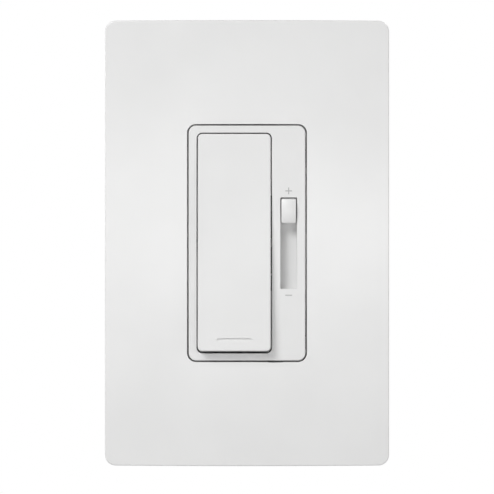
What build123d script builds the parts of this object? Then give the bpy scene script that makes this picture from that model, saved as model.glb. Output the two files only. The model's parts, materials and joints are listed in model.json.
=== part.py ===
from build123d import *
import os
from math import cos, radians, sin, sqrt

# Slide dimmer with a paddle switch and a screwless wall plate, as its separate pieces.
# Millimetres. +X is right, +Y goes into the wall, +Z is up. The origin is the middle of the wall plate on
# the finished wall's surface, so the visible front is at negative Y and the wall-box side at positive Y.

# ---------------------------------------------------------------- driving dimensions
# Wall plate: a shell with a front that is crowned across its width.
PLATE_W, PLATE_H = 80.0, 125.2
PLATE_CORNER_R = 3.0
PLATE_EDGE_R = 0.35
PLATE_SIDE_DEPTH = 5.2
PLATE_CROWN_DEPTH = 7.2
PLATE_WALL = 1.6
OPENING_W, OPENING_H, OPENING_CORNER_R = 33.65, 66.8, 2.5

# Depths, from the room into the wall.
BEZEL_FRONT_Y = -7.0
SHUTTER_FRONT_Y = -3.9
STRAP_FRONT_Y = -1.8
STRAP_BACK_Y = -0.3
BOARD_FRONT_Y = 12.5
BOARD_BACK_Y = 14.1
HOUSING_BACK_Y = 29.7

# Standard device spacings, centre to centre along Z.
BOX_SCREW_SPACING = 83.34
PLATE_SCREW_SPACING = 96.84

# Bezel and paddle.
BEZEL_W, BEZEL_H, BEZEL_CORNER_R = 32.75, 66.0, 2.1
PADDLE_X = -3.57
WELL_W, WELL_H, WELL_CORNER_R = 21.1, 61.95, 1.6
PADDLE_W, PADDLE_H, PADDLE_CORNER_R = 20.45, 61.0, 1.3
ROCKER_PIVOT_Y = -3.6
ROCKER_HALF_SWING = 2.7
# At half swing the pressed end of the paddle is flush with the bezel.
PADDLE_FACE_Y = BEZEL_FRONT_Y - PADDLE_H / 2 * sin(radians(ROCKER_HALF_SWING))

# Switch contacts: a see-saw lever that turns the other way, twice as far as the paddle.
LEVER_PIVOT_Y = 6.15
LEVER_HALF_SWING = 2 * ROCKER_HALF_SWING
LEVER_FRONT_Y, LEVER_BACK_Y = 5.03, 5.63

# Slider.
SLOT_X = 11.7
SLOT_W, SLOT_H = 4.7, 25.7
KNOB_W, KNOB_H = 4.1, 6.8
KNOB_GAP = 0.45
KNOB_Z = SLOT_H / 2 - KNOB_GAP - KNOB_H / 2

# Back housing, a tray that is open towards the strap.
HOUSING_W, HOUSING_H, HOUSING_CORNER_R = 44.0, 66.0, 3.0
HOUSING_WALL = 1.8

# Fasteners: thread radii are those of the American 6-32, 8-32 and 5-20 sizes.
THREAD_6_R = 1.75
THREAD_8_R = 2.08
THREAD_5_R = 1.4
RUNNING_GAP = 0.05

ROCKER_AXIS = Axis((0, ROCKER_PIVOT_Y, 0), (1, 0, 0))
LEVER_AXIS = Axis((0, LEVER_PIVOT_Y, 0), (1, 0, 0))
os.makedirs("parts", exist_ok=True)


# ---------------------------------------------------------------- helpers
def depth(y):
    """Sketch plane facing the room at depth y: local x is X, local y is Z, and extrusions come forwards."""
    return Plane.XZ.offset(-y)


def across(x):
    """Sketch plane facing right at x: local x is Y, local y is Z, and extrusions go right."""
    return Plane.YZ.offset(x)


def crown_y(x, inset=0.0):
    """Depth of the plate's crowned front, or of the surface inset inside it, at x from the middle."""
    rise = PLATE_CROWN_DEPTH - PLATE_SIDE_DEPTH
    radius = ((PLATE_W / 2) ** 2 + rise**2) / (2 * rise)
    return radius - PLATE_CROWN_DEPTH - sqrt((radius - inset) ** 2 - x**2)


def crowned_block(inset, corner_r):
    """The plate's outer form, or its hollow when inset by the wall thickness."""
    half_w = PLATE_W / 2 - inset
    side_y = crown_y(half_w, inset)
    with BuildPart() as block:
        with BuildSketch(Plane.XY):
            with BuildLine():
                crown = ThreePointArc((-half_w, side_y), (0, crown_y(0, inset)), (half_w, side_y))
                Polyline(crown @ 1, (half_w, 0), (-half_w, 0), crown @ 0)
            make_face()
        extrude(amount=PLATE_H / 2 - inset, both=True)
        fillet(block.edges().filter_by(Axis.Y), corner_r)
    return block.part


def cross_recess(size, width):
    """A plus-shaped driver recess sketch."""
    Rectangle(size, width)
    Rectangle(width, size)


# ---------------------------------------------------------------- wall plate cover
LIP_BACK_Y = -3.6
LIP_WALL = 1.2
LIP_FRONT_Y = -5.9
COVER_BEAD_R, COVER_BEAD_Y = 0.6, -1.15
FRAME_BEAD_R, FRAME_BEAD_Y = 0.45, -2.45
SIDE_BEAD_L, SIDE_BEAD_Z = 14.0, 38.0
END_BEAD_L = 22.0
RELIEF_X, RELIEF_W, RELIEF_DEPTH = 8.05, 4.1, 0.11
PRY_SLOT_W, PRY_SLOT_DEPTH = 10.0, 1.2
HOLLOW_W, HOLLOW_H = PLATE_W - 2 * PLATE_WALL, PLATE_H - 2 * PLATE_WALL


def snap_beads(radius, y, width, height):
    """Round beads along the sides and ends of a rectangle, half buried in its wall."""
    for side in (-1, 1):
        with Locations(*[(side * width / 2, y, z) for z in (-SIDE_BEAD_Z, SIDE_BEAD_Z)]):
            Cylinder(radius, SIDE_BEAD_L)
        with Locations((0, y, side * height / 2)):
            Cylinder(radius, END_BEAD_L, rotation=(0, 90, 0))


plate_form = crowned_block(0, PLATE_CORNER_R)
plate_hollow = crowned_block(PLATE_WALL, PLATE_CORNER_R - PLATE_WALL)

with BuildPart() as wall_plate_cover:
    add(plate_form)
    fillet(wall_plate_cover.faces().sort_by(Axis.Y)[0].edges(), PLATE_EDGE_R)
    add(plate_hollow, mode=Mode.SUBTRACT)
    with BuildSketch(depth(0)):
        RectangleRounded(OPENING_W, OPENING_H, OPENING_CORNER_R)
    extrude(amount=2 * PLATE_CROWN_DEPTH, mode=Mode.SUBTRACT)
    with BuildSketch(depth(0)):
        with Locations((RELIEF_X, -OPENING_H / 2)):
            Rectangle(RELIEF_W, 2 * RELIEF_DEPTH)
    extrude(amount=2 * PLATE_CROWN_DEPTH, mode=Mode.SUBTRACT)
    fillet(wall_plate_cover.faces().sort_by(Axis.Y)[0].inner_wires()[0].edges(), RELIEF_DEPTH * 0.9)
    with BuildSketch(depth(LIP_BACK_Y)):
        RectangleRounded(OPENING_W + 2 * LIP_WALL, OPENING_H + 2 * LIP_WALL, OPENING_CORNER_R + LIP_WALL)
        RectangleRounded(OPENING_W, OPENING_H, OPENING_CORNER_R, mode=Mode.SUBTRACT)
        with Locations((RELIEF_X, -OPENING_H / 2)):
            Rectangle(RELIEF_W, 2 * RELIEF_DEPTH, mode=Mode.SUBTRACT)
    extrude(amount=LIP_BACK_Y - LIP_FRONT_Y)
    snap_beads(COVER_BEAD_R, COVER_BEAD_Y, HOLLOW_W, HOLLOW_H)
    with Locations((0, 0, -PLATE_H / 2)):
        Box(PRY_SLOT_W, 2 * PRY_SLOT_DEPTH, 3 * PLATE_WALL, mode=Mode.SUBTRACT)
wall_plate_cover.part.label = "wall_plate_cover"
export_step(wall_plate_cover.part, "parts/wall_plate_cover.step")

# ---------------------------------------------------------------- wall plate frame
# The snap-on cover's carrier: it is screwed to the strap and lies inside the cover.
FRAME_W, FRAME_H, FRAME_CORNER_R = 75.2, 120.4, 2.0
FRAME_FRONT_Y, FRAME_SKIRT_BACK_Y = -3.4, -0.4
FRAME_SKIRT = 1.4
FRAME_OPENING_W, FRAME_OPENING_H = 36.4, 69.8
NOTCH_W = 6.6
HEAD_6_FLAT_R, HEAD_6_FLAT_H = 2.95, 1.3
RIB_W, RIB_BACK_Y = 1.2, -0.9
RIB_X, RIB_Z = 28.0, 54.6

with BuildPart() as wall_plate_frame:
    with BuildSketch(depth(FRAME_SKIRT_BACK_Y)):
        RectangleRounded(FRAME_W, FRAME_H, FRAME_CORNER_R)
    extrude(amount=FRAME_SKIRT_BACK_Y - FRAME_FRONT_Y)
    fillet(wall_plate_frame.faces().sort_by(Axis.Y)[0].edges(), FRAME_BEAD_R)
    with BuildSketch(depth(FRAME_SKIRT_BACK_Y)):
        RectangleRounded(FRAME_W - 2 * FRAME_SKIRT, FRAME_H - 2 * FRAME_SKIRT, FRAME_CORNER_R / 2)
    extrude(amount=FRAME_SKIRT_BACK_Y - STRAP_FRONT_Y, mode=Mode.SUBTRACT)
    with BuildSketch(depth(STRAP_FRONT_Y)):
        RectangleRounded(FRAME_OPENING_W, FRAME_OPENING_H, OPENING_CORNER_R + LIP_WALL)
        with Locations(Location((0, 0), 90)):
            SlotCenterToCenter(BOX_SCREW_SPACING, NOTCH_W)
    extrude(amount=STRAP_FRONT_Y - FRAME_FRONT_Y, mode=Mode.SUBTRACT)
    with Locations(*[depth(FRAME_FRONT_Y) * Pos(0, s * PLATE_SCREW_SPACING / 2) for s in (-1, 1)]):
        CounterSinkHole(THREAD_6_R + 4 * RUNNING_GAP, HEAD_6_FLAT_R + RUNNING_GAP, counter_sink_angle=82)
    # Stiffening ribs behind the flange, clear of the strap.
    with BuildSketch(depth(RIB_BACK_Y)):
        for side in (-1, 1):
            with Locations((side * RIB_X, 0)):
                Rectangle(RIB_W, FRAME_H - 2 * FRAME_SKIRT)
            with Locations((0, side * (RIB_Z + RIB_W))):
                Rectangle(FRAME_W - 2 * FRAME_SKIRT, RIB_W)
    extrude(amount=RIB_BACK_Y - STRAP_FRONT_Y)
    snap_beads(FRAME_BEAD_R, FRAME_BEAD_Y, FRAME_W, FRAME_H)
wall_plate_frame.part.label = "wall_plate_frame"
export_step(wall_plate_frame.part, "parts/wall_plate_frame.step")

# ---------------------------------------------------------------- wall plate screws
PLATE_SCREW_TIP_Y = 2.6
FLAT_HEAD_BACK_Y = FRAME_FRONT_Y + HEAD_6_FLAT_H
SLOT_CUT_W, SLOT_CUT_DEPTH = 0.9, 0.7

with BuildPart() as wall_plate_screws:
    with Locations(*[depth(FLAT_HEAD_BACK_Y) * Pos(0, s * PLATE_SCREW_SPACING / 2) for s in (-1, 1)]):
        Cone(THREAD_6_R, HEAD_6_FLAT_R, HEAD_6_FLAT_H, align=(Align.CENTER, Align.CENTER, Align.MIN))
        Cylinder(
            THREAD_6_R,
            PLATE_SCREW_TIP_Y - FLAT_HEAD_BACK_Y,
            align=(Align.CENTER, Align.CENTER, Align.MAX),
        )
    chamfer(wall_plate_screws.faces().sort_by(Axis.Y)[-2:].edges(), THREAD_6_R / 4)
    with Locations(*[(0, FRAME_FRONT_Y, s * PLATE_SCREW_SPACING / 2) for s in (-1, 1)]):
        Box(3 * HEAD_6_FLAT_R, 2 * SLOT_CUT_DEPTH, SLOT_CUT_W, mode=Mode.SUBTRACT)
wall_plate_screws.part.label = "wall_plate_screws"
export_step(wall_plate_screws.part, "parts/wall_plate_screws.step")

# ---------------------------------------------------------------- mounting strap
STRAP_H, EAR_H = 106.4, 8.2
STRAP_W, NECK_W, STRAP_BODY_H = 44.6, 26.0, 68.0
STRAP_CORNER_R = 1.5
BOX_SLOT_L, BOX_SLOT_W = 7.0, 4.0
WINDOW_W, WINDOW_H, WINDOW_X = 26.0, 27.0, 1.2
SCORE_X, SCORE_W, SCORE_DEPTH = 12.0, 0.8, 0.5
HOUSING_SCREW_X, HOUSING_SCREW_Z = 18.4, 29.6
LEG_Z, LEG_L, LEG_WALL = 24.0, 4.4, 1.4
LEG_X = {-1: -15.3, 1: 15.7}
LEG_SLOT_W, LEG_SLOT_L = 2.0, 5.0
HOOK_DEPTH, HOOK_REACH = 1.2, 0.6
TRIAC_X, TRIAC_HOLE_Z = -2.0, 27.8
TRIAC_SCREW_R = 1.5
TRIM_X, TRIM_Z, TRIM_HOLE_R = 18.1, -19.6, 1.5
GROUND_TAB_X, GROUND_TAB_H, GROUND_TAB_DEPTH, GROUND_TAB_Z = -14.7, 8.4, 9.0, -39.4
GROUND_SCREW_Y = 4.9
FLAT_HEAD_R = 2.3
STRAP_T = STRAP_BACK_Y - STRAP_FRONT_Y
STRAP_MID_Y = (STRAP_BACK_Y + STRAP_FRONT_Y) / 2
HOUSING_SCREW_SPOTS = [(sx * HOUSING_SCREW_X, sz * HOUSING_SCREW_Z) for sx in (-1, 1) for sz in (-1, 1)]

with BuildPart() as mounting_strap:
    with BuildSketch(depth(STRAP_BACK_Y)) as strap_outline:
        Rectangle(STRAP_W, STRAP_BODY_H)
        Rectangle(NECK_W, STRAP_H)
        with Locations(*[(0, s * (STRAP_H - EAR_H) / 2) for s in (-1, 1)]):
            Rectangle(STRAP_W, EAR_H)
        fillet(strap_outline.vertices(), STRAP_CORNER_R)
    extrude(amount=STRAP_T)
    with BuildSketch(depth(STRAP_BACK_Y)):
        with Locations((WINDOW_X, 0)):
            RectangleRounded(WINDOW_W, WINDOW_H, STRAP_CORNER_R)
        for side in (-1, 1):
            with Locations((0, side * BOX_SCREW_SPACING / 2)):
                SlotOverall(BOX_SLOT_L, BOX_SLOT_W)
            with Locations((0, side * PLATE_SCREW_SPACING / 2)):
                Circle(THREAD_6_R + RUNNING_GAP)
            with Locations(*[(LEG_X[side], s * LEG_Z) for s in (-1, 1)]):
                Rectangle(LEG_SLOT_W, LEG_SLOT_L)
        with Locations((TRIM_X, TRIM_Z)):
            Circle(TRIM_HOLE_R)
    extrude(amount=STRAP_T, mode=Mode.SUBTRACT)
    with Locations(*[depth(STRAP_FRONT_Y) * Pos(*spot) for spot in HOUSING_SCREW_SPOTS]):
        CounterSinkHole(THREAD_5_R + RUNNING_GAP, FLAT_HEAD_R + RUNNING_GAP)
    with Locations(depth(STRAP_FRONT_Y) * Pos(TRIAC_X, TRIAC_HOLE_Z)):
        CounterSinkHole(TRIAC_SCREW_R + RUNNING_GAP, FLAT_HEAD_R + RUNNING_GAP)
    # Scored lines where the plaster ears break off.
    with Locations(*[(sx * SCORE_X, STRAP_FRONT_Y, sz * STRAP_H / 2) for sx in (-1, 1) for sz in (-1, 1)]):
        Box(SCORE_W, 2 * SCORE_DEPTH, 2 * EAR_H, rotation=(0, 0, 45), mode=Mode.SUBTRACT)
    # Earth tab, bent back beside the lower neck.
    with BuildSketch(Plane.XY.offset(GROUND_TAB_Z - GROUND_TAB_H / 2)):
        with BuildLine():
            FilletPolyline(
                (-NECK_W / 2 + STRAP_T, STRAP_MID_Y),
                (GROUND_TAB_X, STRAP_MID_Y),
                (GROUND_TAB_X, GROUND_TAB_DEPTH),
                radius=STRAP_T,
            )
        trace(line_width=STRAP_T)
    extrude(amount=GROUND_TAB_H)
    fillet(mounting_strap.faces().sort_by(Axis.Y)[-1].edges().filter_by(Axis.X), STRAP_CORNER_R)
    with BuildSketch(across(GROUND_TAB_X)):
        with Locations((GROUND_SCREW_Y, GROUND_TAB_Z)):
            Circle(THREAD_8_R + RUNNING_GAP)
    extrude(amount=STRAP_T, both=True, mode=Mode.SUBTRACT)
mounting_strap.part.label = "mounting_strap"
export_step(mounting_strap.part, "parts/mounting_strap.step")

# ---------------------------------------------------------------- box screws and their retainers
BOX_HEAD_R, BOX_HEAD_H, BOX_HEAD_EDGE_R = 3.05, 1.9, 0.9
BOX_NECK_R, BOX_THREAD_START_Y, BOX_TIP_Y = 1.45, 1.5, 24.0
DRIVER_SIZE, DRIVER_W, DRIVER_DEPTH = 3.4, 0.9, 1.0
RETAINER_SIZE, RETAINER_T = 8.0, 0.7

with BuildPart() as box_screws:
    for side in (-1, 1):
        with BuildSketch(Plane.XY.offset(side * BOX_SCREW_SPACING / 2)):
            with BuildLine():
                Polyline(
                    (0, BOX_TIP_Y),
                    (0, STRAP_FRONT_Y - BOX_HEAD_H),
                    (BOX_HEAD_R - BOX_HEAD_EDGE_R, STRAP_FRONT_Y - BOX_HEAD_H),
                )
                RadiusArc(
                    (BOX_HEAD_R - BOX_HEAD_EDGE_R, STRAP_FRONT_Y - BOX_HEAD_H),
                    (BOX_HEAD_R, STRAP_FRONT_Y - BOX_HEAD_H + BOX_HEAD_EDGE_R),
                    BOX_HEAD_EDGE_R,
                )
                Polyline(
                    (BOX_HEAD_R, STRAP_FRONT_Y - BOX_HEAD_H + BOX_HEAD_EDGE_R),
                    (BOX_HEAD_R, STRAP_FRONT_Y),
                    (BOX_NECK_R, STRAP_FRONT_Y),
                    (BOX_NECK_R, BOX_THREAD_START_Y),
                    (THREAD_6_R, BOX_THREAD_START_Y),
                    (THREAD_6_R, BOX_TIP_Y - THREAD_6_R / 2),
                    (THREAD_6_R / 2, BOX_TIP_Y),
                    (0, BOX_TIP_Y),
                )
            make_face()
        revolve(axis=Axis((0, 0, side * BOX_SCREW_SPACING / 2), (0, 1, 0)))
    for side in (-1, 1):
        with BuildSketch(depth(STRAP_FRONT_Y - BOX_HEAD_H + DRIVER_DEPTH)):
            with Locations((0, side * BOX_SCREW_SPACING / 2)):
                cross_recess(DRIVER_SIZE, DRIVER_W)
        extrude(amount=DRIVER_DEPTH, mode=Mode.SUBTRACT)
box_screws.part.label = "box_screws"
export_step(box_screws.part, "parts/box_screws.step")

with BuildPart() as screw_retainers:
    with BuildSketch(depth(STRAP_BACK_Y + RETAINER_T)):
        with Locations(*[(0, s * BOX_SCREW_SPACING / 2) for s in (-1, 1)]):
            RectangleRounded(RETAINER_SIZE, RETAINER_SIZE, STRAP_CORNER_R)
            Circle(BOX_NECK_R + RUNNING_GAP, mode=Mode.SUBTRACT)
    extrude(amount=RETAINER_T)
screw_retainers.part.label = "screw_retainers"
export_step(screw_retainers.part, "parts/screw_retainers.step")

# ---------------------------------------------------------------- front bezel
BEZEL_EDGE_R, WELL_EDGE_R = 0.3, 0.2
CHANNEL_X, CHANNEL_W, CHANNEL_H, CHANNEL_FRONT_Y = 11.9, 6.0, 63.3, SHUTTER_FRONT_Y - 0.1
PIVOT_PIN_R, PIVOT_PIN_L = 1.1, 1.45
MARK_Z, MARK_SIZE, MARK_W, MARK_DEPTH, INK_T = 14.65, 1.9, 0.3, 0.15, 0.1
PIVOT_GROOVE_W = 1.9


def level_mark_sketch():
    """A plus sign above the slot and a minus sign below it."""
    with Locations((SLOT_X, MARK_Z)):
        cross_recess(MARK_SIZE, MARK_W)
    with Locations((SLOT_X, -MARK_Z)):
        Rectangle(MARK_SIZE, MARK_W)


with BuildPart() as front_bezel:
    with BuildSketch(depth(STRAP_FRONT_Y)):
        RectangleRounded(BEZEL_W, BEZEL_H, BEZEL_CORNER_R)
    extrude(amount=STRAP_FRONT_Y - BEZEL_FRONT_Y)
    fillet(front_bezel.faces().sort_by(Axis.Y)[0].edges(), BEZEL_EDGE_R)
    with BuildSketch(depth(STRAP_FRONT_Y)):
        with Locations((PADDLE_X, 0)):
            RectangleRounded(WELL_W, WELL_H, WELL_CORNER_R)
    extrude(amount=STRAP_FRONT_Y - BEZEL_FRONT_Y, mode=Mode.SUBTRACT)
    fillet(front_bezel.faces().sort_by(Axis.Y)[0].inner_wires()[0].edges(), WELL_EDGE_R)
    # Channel behind the face for the slider's shutter, and the slot in front of it.
    with BuildSketch(depth(STRAP_FRONT_Y)):
        with Locations((CHANNEL_X, 0)):
            Rectangle(CHANNEL_W, CHANNEL_H)
    extrude(amount=STRAP_FRONT_Y - CHANNEL_FRONT_Y, mode=Mode.SUBTRACT)
    with BuildSketch(depth(CHANNEL_FRONT_Y)):
        with Locations((SLOT_X, 0)):
            RectangleRounded(SLOT_W, SLOT_H, BEZEL_EDGE_R)
    extrude(amount=CHANNEL_FRONT_Y - BEZEL_FRONT_Y, mode=Mode.SUBTRACT)
    with BuildSketch(depth(BEZEL_FRONT_Y + MARK_DEPTH)):
        level_mark_sketch()
    extrude(amount=MARK_DEPTH, mode=Mode.SUBTRACT)
    # Sockets for the paddle's pivot pins, each with a groove that the pin snaps in along.
    for side in (-1, 1):
        wall_x = PADDLE_X + side * WELL_W / 2
        with BuildSketch(across(wall_x)):
            with Locations((ROCKER_PIVOT_Y, 0)):
                Circle(PIVOT_PIN_R + RUNNING_GAP)
        extrude(amount=side * PIVOT_PIN_L, mode=Mode.SUBTRACT)
        with BuildSketch(across(wall_x)):
            with Locations(((ROCKER_PIVOT_Y + STRAP_FRONT_Y) / 2, 0)):
                Rectangle(STRAP_FRONT_Y - ROCKER_PIVOT_Y, PIVOT_GROOVE_W)
        extrude(amount=side * PIVOT_PIN_L / 2, mode=Mode.SUBTRACT)
    # Snap legs that pass through the strap and hook behind it.
    for side in (-1, 1):
        leg_face_x = LEG_X[side] + side * LEG_WALL / 2
        for z in (-LEG_Z, LEG_Z):
            with Locations((LEG_X[side], STRAP_FRONT_Y, z)):
                Box(
                    LEG_WALL,
                    STRAP_T + RUNNING_GAP + HOOK_DEPTH,
                    LEG_L,
                    align=(Align.CENTER, Align.MIN, Align.CENTER),
                )
            with BuildSketch(Plane.XY.offset(z - LEG_L / 2)):
                with BuildLine():
                    Polyline(
                        (leg_face_x, STRAP_BACK_Y + RUNNING_GAP),
                        (leg_face_x + side * HOOK_REACH, STRAP_BACK_Y + RUNNING_GAP),
                        (leg_face_x, STRAP_BACK_Y + RUNNING_GAP + HOOK_DEPTH),
                        close=True,
                    )
                make_face()
            extrude(amount=LEG_L)
front_bezel.part.label = "front_bezel"
export_step(front_bezel.part, "parts/front_bezel.step")

with BuildPart() as level_marks:
    with BuildSketch(depth(BEZEL_FRONT_Y + MARK_DEPTH)):
        level_mark_sketch()
    extrude(amount=INK_T)
level_marks.part.label = "level_marks"
export_step(level_marks.part, "parts/level_marks.step")

# ---------------------------------------------------------------- rocker paddle
# Drawn in the middle of its swing, then turned to rest with its upper end pressed.
PADDLE_T, PADDLE_SKIRT_DEPTH, PADDLE_WALL, PADDLE_EDGE_R = 1.8, 4.6, 1.2, 0.4
EAR_L, EAR_BACK_Y, EAR_T = 7.0, -2.2, 1.2
BOSS_R, BOSS_BORE_R, BOSS_BACK_Y = 3.0, 1.95, 0.6
BOSS_BORE_FRONT_Y = -6.2
PADDLE_RIB_T, PADDLE_RIB_Z = 1.0, (-22.0, -11.0, 11.0, 22.0)
BAR_W, BAR_H, BAR_DEPTH, BAR_Z = 9.8, 0.9, 0.35, -27.3
SKIRT_BACK_Y = PADDLE_FACE_Y + PADDLE_SKIRT_DEPTH
WEB_START, WEB_END = (BOSS_R + BOSS_BORE_R) / 2, PADDLE_W / 2 - EAR_T / 2

with BuildPart() as rocker_paddle_level:
    with BuildSketch(depth(SKIRT_BACK_Y)):
        with Locations((PADDLE_X, 0)):
            RectangleRounded(PADDLE_W, PADDLE_H, PADDLE_CORNER_R)
    extrude(amount=PADDLE_SKIRT_DEPTH)
    fillet(rocker_paddle_level.faces().sort_by(Axis.Y)[0].edges(), PADDLE_EDGE_R)
    with BuildSketch(depth(SKIRT_BACK_Y)):
        with Locations((PADDLE_X, 0)):
            RectangleRounded(PADDLE_W - 2 * PADDLE_WALL, PADDLE_H - 2 * PADDLE_WALL, PADDLE_CORNER_R / 3)
    extrude(amount=PADDLE_SKIRT_DEPTH - PADDLE_T, mode=Mode.SUBTRACT)
    with BuildSketch(depth(SKIRT_BACK_Y)):
        with Locations(*[(PADDLE_X, z) for z in PADDLE_RIB_Z]):
            Rectangle(PADDLE_W - PADDLE_WALL, PADDLE_RIB_T)
    extrude(amount=PADDLE_SKIRT_DEPTH - PADDLE_T)
    with BuildSketch(depth(BOSS_BACK_Y)):
        with Locations((PADDLE_X, 0)):
            Circle(BOSS_R)
    extrude(amount=BOSS_BACK_Y - PADDLE_FACE_Y - PADDLE_T / 2)
    with BuildSketch(depth(BOSS_BACK_Y)):
        with Locations((PADDLE_X, 0)):
            Circle(BOSS_BORE_R)
    extrude(amount=BOSS_BACK_Y - BOSS_BORE_FRONT_Y, mode=Mode.SUBTRACT)
    # Webs that tie the boss to the side walls, and the pivot ears with their pins.
    for side in (-1, 1):
        with Locations((PADDLE_X + side * (WEB_END + WEB_START) / 2, SKIRT_BACK_Y, 0)):
            Box(
                WEB_END - WEB_START,
                PADDLE_SKIRT_DEPTH - PADDLE_T / 2,
                PADDLE_RIB_T,
                align=(Align.CENTER, Align.MAX, Align.CENTER),
            )
        ear_x = PADDLE_X + side * (PADDLE_W - EAR_T) / 2
        with BuildSketch(across(ear_x - EAR_T / 2)):
            with BuildLine():
                Polyline(
                    (PADDLE_FACE_Y + PADDLE_T, -EAR_L / 2),
                    (SKIRT_BACK_Y, -EAR_L / 2),
                    (EAR_BACK_Y, -PIVOT_PIN_R),
                    (EAR_BACK_Y, PIVOT_PIN_R),
                    (SKIRT_BACK_Y, EAR_L / 2),
                    (PADDLE_FACE_Y + PADDLE_T, EAR_L / 2),
                    close=True,
                )
            make_face()
        extrude(amount=EAR_T)
        with BuildSketch(across(PADDLE_X + side * (PADDLE_W / 2 - EAR_T))):
            with Locations((ROCKER_PIVOT_Y, 0)):
                Circle(PIVOT_PIN_R)
        extrude(amount=side * (EAR_T + (WELL_W - PADDLE_W) / 2 + PIVOT_PIN_L - 4 * RUNNING_GAP))
    # A plain sunk bar near the lower end, to feel which end is down.
    with BuildSketch(depth(PADDLE_FACE_Y + BAR_DEPTH)):
        with Locations((PADDLE_X, BAR_Z)):
            SlotOverall(BAR_W, BAR_H)
    extrude(amount=BAR_DEPTH, mode=Mode.SUBTRACT)
with BuildPart() as rocker_paddle:
    add(rocker_paddle_level.part.rotate(ROCKER_AXIS, -ROCKER_HALF_SWING))
rocker_paddle.part.label = "rocker_paddle"
export_step(rocker_paddle.part, "parts/rocker_paddle.step")

# ---------------------------------------------------------------- detent plunger and spring
PLUNGER_R = BOSS_BORE_R - 2 * RUNNING_GAP
PLUNGER_FRONT_Y, PLUNGER_SHOULDER_Y, PLUNGER_TIP_R = -1.6, 3.0, 0.9
PLUNGER_TIP_Y = LEVER_FRONT_Y - RUNNING_GAP
SPRING_R, SPRING_BORE_R = 1.6, 1.2

with BuildPart() as detent_plunger_level:
    with Locations(depth(PLUNGER_SHOULDER_Y) * Pos(PADDLE_X, 0)):
        Cylinder(
            PLUNGER_R,
            PLUNGER_SHOULDER_Y - PLUNGER_FRONT_Y,
            align=(Align.CENTER, Align.CENTER, Align.MIN),
        )
        Cone(
            PLUNGER_TIP_R,
            PLUNGER_R,
            PLUNGER_TIP_Y - PLUNGER_SHOULDER_Y,
            align=(Align.CENTER, Align.CENTER, Align.MAX),
        )
    fillet(detent_plunger_level.faces().sort_by(Axis.Y)[-1].edges(), PLUNGER_TIP_R * 0.6)
with BuildPart() as detent_plunger:
    add(detent_plunger_level.part.rotate(ROCKER_AXIS, -ROCKER_HALF_SWING))
detent_plunger.part.label = "detent_plunger"
export_step(detent_plunger.part, "parts/detent_plunger.step")

with BuildPart() as detent_spring_level:
    with BuildSketch(depth(PLUNGER_FRONT_Y)):
        with Locations((PADDLE_X, 0)):
            Circle(SPRING_R)
            Circle(SPRING_BORE_R, mode=Mode.SUBTRACT)
    extrude(amount=PLUNGER_FRONT_Y - BOSS_BORE_FRONT_Y)
with BuildPart() as detent_spring:
    add(detent_spring_level.part.rotate(ROCKER_AXIS, -ROCKER_HALF_SWING))
detent_spring.part.label = "detent_spring"
export_step(detent_spring.part, "parts/detent_spring.step")

# ---------------------------------------------------------------- contact lever
LEVER_W, LEVER_L = 5.0, 17.0
CRADLE_R, FULCRUM_R, CRADLE_H, CRADLE_BACK_Y = 0.5, 0.45, 2.6, 6.4
CONTACT_S, CONTACT_R, CONTACT_H = 6.8, 1.3, 0.57
CRADLE_MOUTH = 1.5

with BuildPart() as contact_lever_level:
    with Locations((PADDLE_X, LEVER_FRONT_Y, 0)):
        Box(LEVER_W, LEVER_BACK_Y - LEVER_FRONT_Y, LEVER_L, align=(Align.CENTER, Align.MIN, Align.CENTER))
    fillet(contact_lever_level.edges().filter_by(Axis.Y), STRAP_CORNER_R / 2)
    with Locations((PADDLE_X, LEVER_BACK_Y, 0)):
        Box(LEVER_W, CRADLE_BACK_Y - LEVER_BACK_Y, CRADLE_H, align=(Align.CENTER, Align.MIN, Align.CENTER))
    with BuildSketch(across(PADDLE_X - LEVER_W)):
        with Locations((LEVER_PIVOT_Y, 0)):
            Circle(CRADLE_R)
        with BuildLine():
            Polyline(
                (LEVER_PIVOT_Y, -CRADLE_R),
                (LEVER_PIVOT_Y, CRADLE_R),
                (CRADLE_BACK_Y, CRADLE_MOUTH / 2),
                (CRADLE_BACK_Y, -CRADLE_MOUTH / 2),
                close=True,
            )
        make_face()
    extrude(amount=2 * LEVER_W, mode=Mode.SUBTRACT)
with BuildPart() as contact_lever:
    add(contact_lever_level.part.rotate(LEVER_AXIS, LEVER_HALF_SWING))
contact_lever.part.label = "contact_lever"
export_step(contact_lever.part, "parts/contact_lever.step")

with BuildPart() as lever_contacts_level:
    with BuildSketch(depth(LEVER_BACK_Y + CONTACT_H)):
        with Locations(*[(PADDLE_X, s * CONTACT_S) for s in (-1, 1)]):
            Circle(CONTACT_R)
    extrude(amount=CONTACT_H)
    fillet(lever_contacts_level.edges().group_by(Axis.Y)[-1], CONTACT_H * 0.6)
with BuildPart() as lever_contacts:
    add(lever_contacts_level.part.rotate(LEVER_AXIS, LEVER_HALF_SWING))
lever_contacts.part.label = "lever_contacts"
export_step(lever_contacts.part, "parts/lever_contacts.step")

# ---------------------------------------------------------------- fixed switch parts
TIP_FRONT_Y, TIP_T, TIP_R, TIP_Z = 6.92, 0.5, 1.5, 6.9
STRIP_T, STRIP_W, STRIP_INNER_Z, STRIP_LEG_Z = 0.6, 4.4, 5.0, 10.2
PIN_BACK_Y = 16.0
BLADE_T = 0.5
BASE_W, BASE_H, BASE_WALL = 7.6, 24.6, 1.2
BASE_FRONT_Y, BASE_FLOOR_Y = 3.9, TIP_FRONT_Y + TIP_T + STRIP_T + 2 * RUNNING_GAP

with BuildPart() as contact_tips:
    with BuildSketch(depth(TIP_FRONT_Y + TIP_T)):
        with Locations(*[(PADDLE_X, s * TIP_Z) for s in (-1, 1)]):
            Circle(TIP_R)
    extrude(amount=TIP_T)
contact_tips.part.label = "contact_tips"
export_step(contact_tips.part, "parts/contact_tips.step")

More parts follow.
